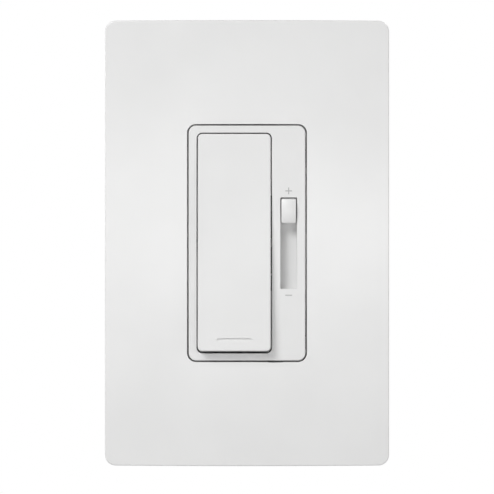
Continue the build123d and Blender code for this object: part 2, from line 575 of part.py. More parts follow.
with BuildPart() as contact_strips:
    for side in (-1, 1):
        strip_front_y = TIP_FRONT_Y + TIP_T
        with BuildSketch(across(PADDLE_X - STRIP_W / 2)):
            with BuildLine():
                strip_line = FilletPolyline(
                    (strip_front_y + STRIP_T / 2, side * STRIP_INNER_Z),
                    (strip_front_y + STRIP_T / 2, side * STRIP_LEG_Z),
                    (PIN_BACK_Y, side * STRIP_LEG_Z),
                    radius=STRIP_T / 2 + RUNNING_GAP,
                )
                offset(strip_line, STRIP_T / 2, side=Side.BOTH)
            make_face()
        extrude(amount=STRIP_W)
contact_strips.part.label = "contact_strips"
export_step(contact_strips.part, "parts/contact_strips.step")

with BuildPart() as fulcrum_bracket:
    with BuildSketch(across(PADDLE_X - LEVER_W / 2)):
        with Locations((LEVER_PIVOT_Y, 0)):
            Circle(FULCRUM_R)
        with Locations(((LEVER_PIVOT_Y + PIN_BACK_Y) / 2, 0)):
            Rectangle(PIN_BACK_Y - LEVER_PIVOT_Y, BLADE_T)
    extrude(amount=LEVER_W)
fulcrum_bracket.part.label = "fulcrum_bracket"
export_step(fulcrum_bracket.part, "parts/fulcrum_bracket.step")

with BuildPart() as switch_base:
    with BuildSketch(depth(BOARD_FRONT_Y)):
        with Locations((PADDLE_X, 0)):
            RectangleRounded(BASE_W, BASE_H, BASE_WALL / 2)
    extrude(amount=BOARD_FRONT_Y - BASE_FRONT_Y)
    with BuildSketch(depth(BASE_FLOOR_Y)):
        with Locations((PADDLE_X, 0)):
            Rectangle(BASE_W - 2 * BASE_WALL, BASE_H - 2 * BASE_WALL)
    extrude(amount=BASE_FLOOR_Y - BASE_FRONT_Y, mode=Mode.SUBTRACT)
    with BuildSketch(depth(BOARD_FRONT_Y)):
        with Locations((PADDLE_X, 0)):
            Rectangle(LEVER_W + 2 * RUNNING_GAP, BLADE_T + 2 * RUNNING_GAP)
        with Locations(*[(PADDLE_X, s * STRIP_LEG_Z) for s in (-1, 1)]):
            Rectangle(STRIP_W + 2 * RUNNING_GAP, STRIP_T + 2 * RUNNING_GAP)
    extrude(amount=BOARD_FRONT_Y - BASE_FLOOR_Y, mode=Mode.SUBTRACT)
switch_base.part.label = "switch_base"
export_step(switch_base.part, "parts/switch_base.step")

# ---------------------------------------------------------------- slider: knob, shutter, lever and wiper
KNOB_FRONT_Y, KNOB_EDGE_R, KNOB_DROP = -8.3, 0.35, 0.45
SHUTTER_W, SHUTTER_H, SHUTTER_T = 5.6, 44.4, 0.8
FOOT_W, FOOT_L, FOOT_BACK_Y, FOOT_SPREAD_X, FOOT_SPREAD_Z = 0.8, 5.0, -2.1, 4.2, 34.0
LEVER_BLADE_W, LEVER_BLADE_L, BLADE_TIP_Y = 1.0, 3.4, -7.2
CARRIAGE_W, CARRIAGE_L, CARRIAGE_FRONT_Y, CARRIAGE_BACK_Y = 5.4, 7.0, 6.9, 10.6
FINGER_W, FINGER_L, FINGER_BACK_Y, FINGER_SPREAD = 0.8, 5.0, 10.95, 2.4


with BuildPart() as slide_knob:
    with BuildSketch(Plane((SLOT_X, 0, KNOB_Z), x_dir=(0, 0, 1), z_dir=(-1, 0, 0))):
        with BuildLine():
            knob_arch = ThreePointArc(
                (-KNOB_H / 2, KNOB_FRONT_Y + KNOB_DROP),
                (0, KNOB_FRONT_Y),
                (KNOB_H / 2, KNOB_FRONT_Y + KNOB_DROP),
            )
            Polyline(
                knob_arch @ 1,
                (KNOB_H / 2, SHUTTER_FRONT_Y),
                (-KNOB_H / 2, SHUTTER_FRONT_Y),
                knob_arch @ 0,
            )
        make_face()
    extrude(amount=KNOB_W / 2, both=True)
    fillet(slide_knob.faces().sort_by(Axis.Y)[0].edges(), KNOB_EDGE_R)
    with BuildSketch(depth(SHUTTER_FRONT_Y)):
        with Locations((SLOT_X, KNOB_Z)):
            Rectangle(LEVER_BLADE_W + 2 * RUNNING_GAP, LEVER_BLADE_L + 2 * RUNNING_GAP)
    extrude(amount=SHUTTER_FRONT_Y - BLADE_TIP_Y + RUNNING_GAP, mode=Mode.SUBTRACT)
slide_knob.part.label = "slide_knob"
export_step(slide_knob.part, "parts/slide_knob.step")

with BuildPart() as slide_shutter:
    with BuildSketch(depth(SHUTTER_FRONT_Y + SHUTTER_T)):
        with Locations((CHANNEL_X, KNOB_Z)):
            RectangleRounded(SHUTTER_W, SHUTTER_H, KNOB_EDGE_R)
        with Locations((SLOT_X, KNOB_Z)):
            Rectangle(
                LEVER_BLADE_W + 2 * RUNNING_GAP, LEVER_BLADE_L + 2 * RUNNING_GAP, mode=Mode.SUBTRACT
            )
    extrude(amount=SHUTTER_T)
    # Feet that keep the shutter against the face of the bezel.
    with BuildSketch(depth(FOOT_BACK_Y)):
        with Locations((CHANNEL_X, KNOB_Z)):
            with GridLocations(FOOT_SPREAD_X, FOOT_SPREAD_Z, 2, 2):
                Rectangle(FOOT_W, FOOT_L)
    extrude(amount=FOOT_BACK_Y - SHUTTER_FRONT_Y - SHUTTER_T)
slide_shutter.part.label = "slide_shutter"
export_step(slide_shutter.part, "parts/slide_shutter.step")

with BuildPart() as slide_lever:
    with BuildSketch(depth(CARRIAGE_BACK_Y)):
        with Locations((SLOT_X, KNOB_Z)):
            Rectangle(CARRIAGE_W, CARRIAGE_L)
    extrude(amount=CARRIAGE_BACK_Y - CARRIAGE_FRONT_Y)
    with BuildSketch(depth(CARRIAGE_FRONT_Y)):
        with Locations((SLOT_X, KNOB_Z)):
            Rectangle(LEVER_BLADE_W, LEVER_BLADE_L)
    extrude(amount=CARRIAGE_FRONT_Y - BLADE_TIP_Y)
    chamfer(slide_lever.faces().sort_by(Axis.Y)[0].edges(), LEVER_BLADE_W / 4)
slide_lever.part.label = "slide_lever"
export_step(slide_lever.part, "parts/slide_lever.step")

with BuildPart() as wiper_fingers:
    with BuildSketch(depth(FINGER_BACK_Y)):
        with Locations((SLOT_X, KNOB_Z)):
            with GridLocations(FINGER_SPREAD, 1, 2, 1):
                RectangleRounded(FINGER_W, FINGER_L, FINGER_W / 3)
    extrude(amount=FINGER_BACK_Y - CARRIAGE_BACK_Y)
wiper_fingers.part.label = "wiper_fingers"
export_step(wiper_fingers.part, "parts/wiper_fingers.step")

# ---------------------------------------------------------------- slide potentiometer
POT_W, POT_H, POT_FRONT_Y, POT_WALL = 9.0, 32.0, 5.6, 0.8
TRACK_FRONT_Y, TRACK_T, TRACK_W, TRACK_H = 11.1, 0.6, 6.6, 29.6
POT_SLOT_W = 1.8
POT_PIN_R, POT_PIN_Z = 0.45, (-14.0, 12.0, 14.0)
TRAVEL = 2 * KNOB_Z

with BuildPart() as pot_shell:
    with BuildSketch(depth(BOARD_FRONT_Y)):
        with Locations((SLOT_X, 0)):
            RectangleRounded(POT_W, POT_H, POT_WALL)
    extrude(amount=BOARD_FRONT_Y - POT_FRONT_Y)
    with BuildSketch(depth(TRACK_FRONT_Y + TRACK_T)):
        with Locations((SLOT_X, 0)):
            Rectangle(POT_W - 2 * POT_WALL, POT_H - 2 * POT_WALL)
    extrude(amount=TRACK_FRONT_Y + TRACK_T - POT_FRONT_Y - POT_WALL, mode=Mode.SUBTRACT)
    with BuildSketch(depth(POT_FRONT_Y + POT_WALL)):
        with Locations((SLOT_X, 0)):
            Rectangle(POT_SLOT_W, TRAVEL + LEVER_BLADE_L + 2 * KNOB_GAP)
    extrude(amount=POT_WALL, mode=Mode.SUBTRACT)
    with BuildSketch(depth(BOARD_FRONT_Y)):
        with Locations(*[(SLOT_X, z) for z in POT_PIN_Z]):
            Circle(POT_PIN_R + RUNNING_GAP)
    extrude(amount=BOARD_FRONT_Y - TRACK_FRONT_Y - TRACK_T, mode=Mode.SUBTRACT)
pot_shell.part.label = "pot_shell"
export_step(pot_shell.part, "parts/pot_shell.step")

with BuildPart() as pot_track:
    with BuildSketch(depth(TRACK_FRONT_Y + TRACK_T)):
        with Locations((SLOT_X, 0)):
            Rectangle(TRACK_W, TRACK_H)
    extrude(amount=TRACK_T)
pot_track.part.label = "pot_track"
export_step(pot_track.part, "parts/pot_track.step")

with BuildPart() as pot_pins:
    with BuildSketch(depth(PIN_BACK_Y)):
        with Locations(*[(SLOT_X, z) for z in POT_PIN_Z]):
            Circle(POT_PIN_R)
    extrude(amount=PIN_BACK_Y - TRACK_FRONT_Y - TRACK_T)
pot_pins.part.label = "pot_pins"
export_step(pot_pins.part, "parts/pot_pins.step")

# ---------------------------------------------------------------- trim dial and its potentiometer
DIAL_FRONT_Y, DIAL_FLANGE_R, DIAL_FLANGE_Y, DIAL_FLANGE_T = -1.6, 1.75, 0.0, 1.2
DIAL_STEM_R, DIAL_STEM_END_Y = 0.9, 10.5
DIAL_SLOT_W, DIAL_SLOT_DEPTH = 0.7, 0.8
TRIM_BODY_X, TRIM_BODY_W, TRIM_BODY_H, TRIM_BODY_FRONT_Y = 17.5, 4.8, 6.4, 8.2
TRIM_PIN_R, TRIM_PIN_SPREAD = 0.35, 4.6

with BuildPart() as trim_dial:
    with BuildSketch(depth(DIAL_FLANGE_Y)):
        with Locations((TRIM_X, TRIM_Z)):
            Circle(TRIM_HOLE_R - 2 * RUNNING_GAP)
    extrude(amount=DIAL_FLANGE_Y - DIAL_FRONT_Y)
    with BuildSketch(depth(DIAL_FLANGE_Y + DIAL_FLANGE_T)):
        with Locations((TRIM_X, TRIM_Z)):
            Circle(DIAL_FLANGE_R)
    extrude(amount=DIAL_FLANGE_T)
    with BuildSketch(depth(DIAL_STEM_END_Y)):
        with Locations((TRIM_X, TRIM_Z)):
            Circle(DIAL_STEM_R)
    extrude(amount=DIAL_STEM_END_Y - DIAL_FLANGE_Y)
    with Locations((TRIM_X, DIAL_FRONT_Y, TRIM_Z)):
        Box(DIAL_SLOT_W, 2 * DIAL_SLOT_DEPTH, 3 * TRIM_HOLE_R, mode=Mode.SUBTRACT)
trim_dial.part.label = "trim_dial"
export_step(trim_dial.part, "parts/trim_dial.step")

with BuildPart() as trim_body:
    with BuildSketch(depth(BOARD_FRONT_Y)):
        with Locations((TRIM_BODY_X, TRIM_Z)):
            RectangleRounded(TRIM_BODY_W, TRIM_BODY_H, KNOB_EDGE_R)
    extrude(amount=BOARD_FRONT_Y - TRIM_BODY_FRONT_Y)
    with BuildSketch(depth(DIAL_STEM_END_Y + RUNNING_GAP)):
        with Locations((TRIM_X, TRIM_Z)):
            Circle(DIAL_STEM_R + RUNNING_GAP)
    extrude(amount=DIAL_STEM_END_Y - TRIM_BODY_FRONT_Y + RUNNING_GAP, mode=Mode.SUBTRACT)
    with BuildSketch(depth(PIN_BACK_Y)):
        with Locations((TRIM_BODY_X, TRIM_Z)):
            with GridLocations(1, TRIM_PIN_SPREAD / 2, 1, 3):
                Circle(TRIM_PIN_R)
    extrude(amount=PIN_BACK_Y - BOARD_FRONT_Y)
trim_body.part.label = "trim_body"
export_step(trim_body.part, "parts/trim_body.step")

# ---------------------------------------------------------------- triac, held flat against the strap
INSULATOR_T, TAB_T, TRIAC_T, TRIAC_W = 0.2, 1.3, 4.4, 10.0
TAB_TOP_Z, TRIAC_TOP_Z, TRIAC_BOTTOM_Z = 30.6, 24.9, 15.9
TRIAC_BACK_Y = STRAP_BACK_Y + INSULATOR_T + TRIAC_T
TRIAC_LEAD_PITCH, TRIAC_LEAD_W, TRIAC_LEAD_T = 2.54, 0.9, 0.5
TRIAC_LEAD_Y, TRIAC_LEAD_Z = 2.3, 14.2
TAB_FRONT_Y = STRAP_BACK_Y + INSULATOR_T
TAB_BACK_Y = TAB_FRONT_Y + TAB_T

with BuildPart() as triac_insulator:
    with BuildSketch(depth(TAB_FRONT_Y)):
        with Locations((TRIAC_X, (TAB_TOP_Z + TRIAC_BOTTOM_Z) / 2)):
            Rectangle(TRIAC_W + 1, TAB_TOP_Z - TRIAC_BOTTOM_Z + 1)
        with Locations((TRIAC_X, TRIAC_HOLE_Z)):
            Circle(TRIAC_SCREW_R + RUNNING_GAP, mode=Mode.SUBTRACT)
    extrude(amount=INSULATOR_T)
triac_insulator.part.label = "triac_insulator"
export_step(triac_insulator.part, "parts/triac_insulator.step")

with BuildPart() as triac_tab:
    with BuildSketch(depth(TAB_BACK_Y)):
        with Locations((TRIAC_X, (TAB_TOP_Z + TRIAC_BOTTOM_Z) / 2)):
            Rectangle(TRIAC_W, TAB_TOP_Z - TRIAC_BOTTOM_Z)
        with Locations((TRIAC_X, TRIAC_HOLE_Z)):
            Circle(TRIAC_SCREW_R + RUNNING_GAP, mode=Mode.SUBTRACT)
    extrude(amount=TAB_T)
    chamfer(triac_tab.edges().filter_by(Axis.Y).group_by(Axis.Z)[-1], TAB_T)
triac_tab.part.label = "triac_tab"
export_step(triac_tab.part, "parts/triac_tab.step")

with BuildPart() as triac_body:
    with BuildSketch(depth(TRIAC_BACK_Y)):
        with Locations((TRIAC_X, (TRIAC_TOP_Z + TRIAC_BOTTOM_Z) / 2)):
            Rectangle(TRIAC_W, TRIAC_TOP_Z - TRIAC_BOTTOM_Z)
    extrude(amount=TRIAC_BACK_Y - TAB_BACK_Y)
    chamfer(triac_body.faces().sort_by(Axis.Y)[-1].edges(), TAB_T / 3)
    with BuildSketch(across(TRIAC_X - TRIAC_W / 2)):
        with Locations((TRIAC_LEAD_Y, TRIAC_BOTTOM_Z)):
            Rectangle(TRIAC_LEAD_T + 2 * RUNNING_GAP, 2 * TRIAC_LEAD_T)
    extrude(amount=TRIAC_W, mode=Mode.SUBTRACT)
triac_body.part.label = "triac_body"
export_step(triac_body.part, "parts/triac_body.step")

with BuildPart() as triac_leads:
    for column in (-1, 0, 1):
        with BuildSketch(across(TRIAC_X + column * TRIAC_LEAD_PITCH - TRIAC_LEAD_W / 2)):
            with BuildLine():
                FilletPolyline(
                    (TRIAC_LEAD_Y, TRIAC_BOTTOM_Z + TRIAC_LEAD_T),
                    (TRIAC_LEAD_Y, TRIAC_LEAD_Z),
                    (PIN_BACK_Y, TRIAC_LEAD_Z),
                    radius=TRIAC_LEAD_T * 2,
                )
            trace(line_width=TRIAC_LEAD_T)
        extrude(amount=TRIAC_LEAD_W)
triac_leads.part.label = "triac_leads"
export_step(triac_leads.part, "parts/triac_leads.step")


def flat_head_screw(x, z, radius, length):
    """A countersunk screw whose head is flush with the front of the strap."""
    head_h = FLAT_HEAD_R - radius
    with Locations(depth(STRAP_FRONT_Y) * Pos(x, z)):
        Cone(radius, FLAT_HEAD_R, head_h, align=(Align.CENTER, Align.CENTER, Align.MAX))
        Cylinder(radius, length, align=(Align.CENTER, Align.CENTER, Align.MAX))
    with Locations((x, STRAP_FRONT_Y, z)):
        Box(3 * FLAT_HEAD_R, SLOT_CUT_DEPTH, SLOT_CUT_W, mode=Mode.SUBTRACT)


TRIAC_SCREW_L, HOUSING_SCREW_L = 5.0, 9.5
NUT_SIZE, NUT_T = 5.0, 1.8

with BuildPart() as triac_screw:
    flat_head_screw(TRIAC_X, TRIAC_HOLE_Z, TRIAC_SCREW_R, TRIAC_SCREW_L)
triac_screw.part.label = "triac_screw"
export_step(triac_screw.part, "parts/triac_screw.step")

with BuildPart() as triac_nut:
    with BuildSketch(depth(TAB_BACK_Y + NUT_T)):
        with Locations((TRIAC_X, TRIAC_HOLE_Z)):
            RegularPolygon(NUT_SIZE / 2, 6, major_radius=False)
            Circle(TRIAC_SCREW_R + RUNNING_GAP, mode=Mode.SUBTRACT)
    extrude(amount=NUT_T)
triac_nut.part.label = "triac_nut"
export_step(triac_nut.part, "parts/triac_nut.step")

with BuildPart() as housing_screws:
    for spot in HOUSING_SCREW_SPOTS:
        flat_head_screw(*spot, THREAD_5_R, HOUSING_SCREW_L)
housing_screws.part.label = "housing_screws"
export_step(housing_screws.part, "parts/housing_screws.step")

# ---------------------------------------------------------------- wiring terminals
# Screw terminals on the housing's sides: two on the right and one on the left.
RIGHT_TERMINAL_Z, LEFT_TERMINAL_Z = (-6.0, -18.0), (-18.0,)
TERMINALS = [(1, z) for z in RIGHT_TERMINAL_Z] + [(-1, z) for z in LEFT_TERMINAL_Z]
TERMINAL_Y = 20.6
TERMINAL_T, TERMINAL_W, TERMINAL_H = 1.0, 8.4, 9.0
TONGUE_T, TONGUE_W, TONGUE_X, TONGUE_PIN_W = 0.8, 4.0, 17.6, 1.2
WASHER_T, WASHER_SIZE, WASHER_R = 0.9, 7.6, 1.0
TERMINAL_HEAD_R, TERMINAL_HEAD_H, TERMINAL_SCREW_END_X = 3.6, 1.9, 16.6
POCKET_X = HOUSING_W / 2 - TERMINAL_T
TONGUE_Z = (TERMINAL_H - TONGUE_T) / 2
BOARD_T = BOARD_BACK_Y - BOARD_FRONT_Y
TONGUE_PIN_FRONT_Y = BOARD_FRONT_Y


WASHER_FACE_X = HOUSING_W / 2 + WASHER_T


def binding_screws(side, rows):
    """Screws along X with flat heads, seated on their clamp washers."""
    with Locations(*[(side * WASHER_FACE_X, TERMINAL_Y, z) for z in rows]):
        Cylinder(
            THREAD_8_R,
            WASHER_FACE_X - TERMINAL_SCREW_END_X,
            rotation=(0, side * 90, 0),
            align=(Align.CENTER, Align.CENTER, Align.MAX),
        )
        Cylinder(
            TERMINAL_HEAD_R,
            TERMINAL_HEAD_H,
            rotation=(0, side * 90, 0),
            align=(Align.CENTER, Align.CENTER, Align.MIN),
        )


def head_slots(side, rows):
    """Driver slots across the heads of the binding screws."""
    with Locations(*[(side * (WASHER_FACE_X + TERMINAL_HEAD_H), TERMINAL_Y, z) for z in rows]):
        Box(TERMINAL_HEAD_H, SLOT_CUT_W, 3 * TERMINAL_HEAD_R, mode=Mode.SUBTRACT)


with BuildPart() as terminal_plates:
    for side, z in TERMINALS:
        with BuildSketch(across(side * POCKET_X)):
            with Locations((TERMINAL_Y, z)):
                RectangleRounded(TERMINAL_W, TERMINAL_H, KNOB_EDGE_R)
                Circle(THREAD_8_R + RUNNING_GAP, mode=Mode.SUBTRACT)
        extrude(amount=side * TERMINAL_T)
        # A tongue goes in through the housing's wall, and its end is a pin in the circuit board.
        with BuildSketch(Plane.XY.offset(z + TONGUE_Z - TONGUE_T / 2)):
            with BuildLine():
                Polyline(
                    (side * POCKET_X, TERMINAL_Y + TONGUE_W / 2),
                    (side * TONGUE_X, TERMINAL_Y + TONGUE_W / 2),
                    (side * TONGUE_X, TONGUE_PIN_FRONT_Y),
                    (side * (TONGUE_X + TONGUE_PIN_W), TONGUE_PIN_FRONT_Y),
                    (side * (TONGUE_X + TONGUE_PIN_W), TERMINAL_Y - TONGUE_W / 2),
                    (side * POCKET_X, TERMINAL_Y - TONGUE_W / 2),
                    close=True,
                )
            make_face()
        extrude(amount=TONGUE_T)
terminal_plates.part.label = "terminal_plates"
export_step(terminal_plates.part, "parts/terminal_plates.step")

with BuildPart() as clamp_washers:
    for side, z in TERMINALS:
        with BuildSketch(across(side * HOUSING_W / 2)):
            with Locations((TERMINAL_Y, z)):
                RectangleRounded(WASHER_SIZE, WASHER_SIZE, WASHER_R)
                Circle(THREAD_8_R + RUNNING_GAP, mode=Mode.SUBTRACT)
        extrude(amount=side * WASHER_T)
clamp_washers.part.label = "clamp_washers"
export_step(clamp_washers.part, "parts/clamp_washers.step")

with BuildPart() as brass_terminal_screws:
    binding_screws(1, RIGHT_TERMINAL_Z)
    fillet(brass_terminal_screws.faces().sort_by(Axis.X)[-2:].edges(), TERMINAL_HEAD_H / 3)
    head_slots(1, RIGHT_TERMINAL_Z)
brass_terminal_screws.part.label = "brass_terminal_screws"
export_step(brass_terminal_screws.part, "parts/brass_terminal_screws.step")

with BuildPart() as black_terminal_screw:
    binding_screws(-1, LEFT_TERMINAL_Z)
    fillet(black_terminal_screw.faces().sort_by(Axis.X)[0].edges(), TERMINAL_HEAD_H / 3)
    head_slots(-1, LEFT_TERMINAL_Z)
black_terminal_screw.part.label = "black_terminal_screw"
export_step(black_terminal_screw.part, "parts/black_terminal_screw.step")

GROUND_HEAD_X = GROUND_TAB_X - STRAP_T / 2
GROUND_SCREW_END_X = -8.6
GROUND_SPOT = (GROUND_SCREW_Y, GROUND_TAB_Z)
with BuildPart() as ground_screw:
    with BuildSketch(across(GROUND_HEAD_X)):
        with Locations(GROUND_SPOT):
            Circle(THREAD_8_R)
    extrude(amount=GROUND_SCREW_END_X - GROUND_HEAD_X)
    with BuildSketch(across(GROUND_HEAD_X)):
        with Locations(GROUND_SPOT):
            RegularPolygon(TERMINAL_HEAD_R, 6, major_radius=False)
    extrude(amount=-TERMINAL_HEAD_H)
    fillet(ground_screw.faces().sort_by(Axis.X)[0].edges(), TERMINAL_HEAD_H / 4)
    with Locations((GROUND_HEAD_X - TERMINAL_HEAD_H, *GROUND_SPOT)):
        Box(TERMINAL_HEAD_H, SLOT_CUT_W, 3 * TERMINAL_HEAD_R, mode=Mode.SUBTRACT)
ground_screw.part.label = "ground_screw"
export_step(ground_screw.part, "parts/ground_screw.step")

# ---------------------------------------------------------------- parts on the back of the board
LEAD_R, CHOKE_LEAD_R = 0.3, 0.45
LEAD_FRONT_Y = BOARD_FRONT_Y
RESISTOR_R, RESISTOR_L, RESISTOR_Y, RESISTOR_SPAN = 1.2, 6.3, 15.8, 10.2
RESISTOR_SPOTS = [(x, -4.0) for x in (3.0, 7.0, 11.0)]
DIAC_R, DIAC_L, DIAC_Y, DIAC_SPAN = 0.95, 4.2, 15.4, 7.6
DIAC_SPOT = (5.0, -16.0)
AXIAL_PARTS = [(x, z, RESISTOR_Y, RESISTOR_L, RESISTOR_SPAN) for x, z in RESISTOR_SPOTS]
AXIAL_PARTS.append((*DIAC_SPOT, DIAC_Y, DIAC_L, DIAC_SPAN))
FILM_CAP_SPOT, FILM_CAP_W, FILM_CAP_H, FILM_CAP_DEPTH, FILM_CAP_SPAN = (-12.4, 15.5), 9.0, 17.5, 11.0, 15.0
SMALL_CAP_W, SMALL_CAP_H, SMALL_CAP_DEPTH, SMALL_CAP_SPAN = 3.0, 7.3, 6.5, 5.0
SMALL_CAP_SPOTS = [(-14.0, -8.0), (-9.6, -8.0)]
CAP_PARTS = [(*FILM_CAP_SPOT, FILM_CAP_SPAN)] + [(x, z, SMALL_CAP_SPAN) for x, z in SMALL_CAP_SPOTS]
CAP_GAP = 0.3
CHOKE_SPOT, CHOKE_R, CHOKE_BORE_R, CHOKE_T, CHOKE_Y = (8.6, 16.6), 9.2, 4.6, 7.0, 21.0
WINDING_T, WINDING_GAP, WINDING_ARC = 0.9, 0.1, 290
CHOKE_MID_R = (CHOKE_R + CHOKE_BORE_R) / 2
CHOKE_FRONT_Y = CHOKE_Y - CHOKE_T / 2 - WINDING_GAP - WINDING_T
CHOKE_LEAD_ANGLES = (6, WINDING_ARC - 6)
CHOKE_LEAD_SPOTS = [
    (CHOKE_SPOT[0] + CHOKE_MID_R * cos(radians(a)), CHOKE_SPOT[1] - CHOKE_MID_R * sin(radians(a)))
    for a in CHOKE_LEAD_ANGLES
]


with BuildPart() as resistors:
    with Locations(*[(x, RESISTOR_Y, z) for x, z in RESISTOR_SPOTS]):
        Cylinder(RESISTOR_R, RESISTOR_L)
    fillet(resistors.edges().filter_by(GeomType.CIRCLE), RESISTOR_R / 2)
resistors.part.label = "resistors"
export_step(resistors.part, "parts/resistors.step")

with BuildPart() as diac:
    with Locations((DIAC_SPOT[0], DIAC_Y, DIAC_SPOT[1])):
        Cylinder(DIAC_R, DIAC_L)
    fillet(diac.edges().filter_by(GeomType.CIRCLE), DIAC_R / 3)
diac.part.label = "diac"
export_step(diac.part, "parts/diac.step")

with BuildPart() as film_capacitor:
    with Locations((FILM_CAP_SPOT[0], BOARD_BACK_Y + CAP_GAP, FILM_CAP_SPOT[1])):
        Box(FILM_CAP_W, FILM_CAP_DEPTH, FILM_CAP_H, align=(Align.CENTER, Align.MIN, Align.CENTER))
    fillet(film_capacitor.edges(), KNOB_EDGE_R)
film_capacitor.part.label = "film_capacitor"
export_step(film_capacitor.part, "parts/film_capacitor.step")

with BuildPart() as timing_capacitors:
    with Locations(*[(x, BOARD_BACK_Y + CAP_GAP, z) for x, z in SMALL_CAP_SPOTS]):
        Box(SMALL_CAP_W, SMALL_CAP_DEPTH, SMALL_CAP_H, align=(Align.CENTER, Align.MIN, Align.CENTER))
    fillet(timing_capacitors.edges(), SMALL_CAP_W / 4)
timing_capacitors.part.label = "timing_capacitors"
export_step(timing_capacitors.part, "parts/timing_capacitors.step")

with BuildPart() as component_leads:
    for x, z, y, length, span in AXIAL_PARTS:
        for end in (-1, 1):
            with BuildLine() as lead:
                FilletPolyline(
                    (x, y, z + end * length / 2),
                    (x, y, z + end * span / 2),
                    (x, LEAD_FRONT_Y, z + end * span / 2),
                    radius=3 * LEAD_R,
                )
            with BuildSketch(Plane(origin=lead.line @ 0, z_dir=lead.line % 0)):
                Circle(LEAD_R)
            sweep(path=lead.line)
    cap_lead_spots = [(x, z + end * span / 2) for x, z, span in CAP_PARTS for end in (-1, 1)]
    with BuildSketch(depth(BOARD_BACK_Y + CAP_GAP)):
        with Locations(*cap_lead_spots):
            Circle(LEAD_R)
    extrude(amount=BOARD_BACK_Y + CAP_GAP - LEAD_FRONT_Y)
    with BuildSketch(depth(CHOKE_FRONT_Y)):
        with Locations(*CHOKE_LEAD_SPOTS):
            Circle(CHOKE_LEAD_R)
    extrude(amount=CHOKE_FRONT_Y - LEAD_FRONT_Y)
component_leads.part.label = "component_leads"
export_step(component_leads.part, "parts/component_leads.step")

with BuildPart() as choke_core:
    with BuildSketch(depth(CHOKE_Y + CHOKE_T / 2)):
        with Locations(CHOKE_SPOT):
            Circle(CHOKE_R)
            Circle(CHOKE_BORE_R, mode=Mode.SUBTRACT)
    extrude(amount=CHOKE_T)
    fillet(choke_core.edges().filter_by(GeomType.CIRCLE), WINDING_T)
choke_core.part.label = "choke_core"
export_step(choke_core.part, "parts/choke_core.step")

CHOKE_AXIS = Axis((CHOKE_SPOT[0], 0, CHOKE_SPOT[1]), (0, 1, 0))
with BuildPart() as choke_winding:
    with BuildSketch(Plane.XY.offset(CHOKE_SPOT[1])):
        with Locations((CHOKE_SPOT[0] + CHOKE_MID_R, CHOKE_Y)):
            wound_w = CHOKE_R - CHOKE_BORE_R + 2 * WINDING_GAP
            wound_h = CHOKE_T + 2 * WINDING_GAP
            RectangleRounded(wound_w + 2 * WINDING_T, wound_h + 2 * WINDING_T, 2 * WINDING_T)
            RectangleRounded(wound_w, wound_h, WINDING_T, mode=Mode.SUBTRACT)
    revolve(axis=CHOKE_AXIS, revolution_arc=WINDING_ARC)
choke_winding.part.label = "choke_winding"
export_step(choke_winding.part, "parts/choke_winding.step")

# ---------------------------------------------------------------- circuit board
BOARD_W, BOARD_H, BOARD_NOTCH = 39.6, 61.6, 5.6

with BuildPart() as circuit_board:
    with BuildSketch(depth(BOARD_BACK_Y)):
        Rectangle(BOARD_W, BOARD_H)
        with Locations(*[(sx * BOARD_W / 2, sz * BOARD_H / 2) for sx in (-1, 1) for sz in (-1, 1)]):
            Rectangle(2 * BOARD_NOTCH, 2 * BOARD_NOTCH, mode=Mode.SUBTRACT)
        with Locations(*[(x, z + end * span / 2) for x, z, _, _, span in AXIAL_PARTS for end in (-1, 1)]):
            Circle(LEAD_R + RUNNING_GAP, mode=Mode.SUBTRACT)
        with Locations(*cap_lead_spots):
            Circle(LEAD_R + RUNNING_GAP, mode=Mode.SUBTRACT)
        with Locations(*CHOKE_LEAD_SPOTS):
            Circle(CHOKE_LEAD_R + RUNNING_GAP, mode=Mode.SUBTRACT)
        with Locations(*[(SLOT_X, z) for z in POT_PIN_Z]):
            Circle(POT_PIN_R + RUNNING_GAP, mode=Mode.SUBTRACT)
        with Locations((TRIM_BODY_X, TRIM_Z)):
            with GridLocations(1, TRIM_PIN_SPREAD / 2, 1, 3):
                Circle(TRIM_PIN_R + RUNNING_GAP, mode=Mode.SUBTRACT)
        with Locations(*[(TRIAC_X + c * TRIAC_LEAD_PITCH, TRIAC_LEAD_Z) for c in (-1, 0, 1)]):
            Rectangle(TRIAC_LEAD_W + 2 * RUNNING_GAP, TRIAC_LEAD_T + 2 * RUNNING_GAP, mode=Mode.SUBTRACT)
        with Locations(*[(PADDLE_X, s * STRIP_LEG_Z) for s in (-1, 1)]):
            Rectangle(STRIP_W + 2 * RUNNING_GAP, STRIP_T + 2 * RUNNING_GAP, mode=Mode.SUBTRACT)
        with Locations((PADDLE_X, 0)):
            Rectangle(LEVER_W + 2 * RUNNING_GAP, BLADE_T + 2 * RUNNING_GAP, mode=Mode.SUBTRACT)
        tongue_spots = [(side * (TONGUE_X + TONGUE_PIN_W / 2), z + TONGUE_Z) for side, z in TERMINALS]
        with Locations(*tongue_spots):
            Rectangle(TONGUE_PIN_W + 2 * RUNNING_GAP, TONGUE_T + 2 * RUNNING_GAP, mode=Mode.SUBTRACT)
    extrude(amount=BOARD_T)
circuit_board.part.label = "circuit_board"
export_step(circuit_board.part, "parts/circuit_board.step")

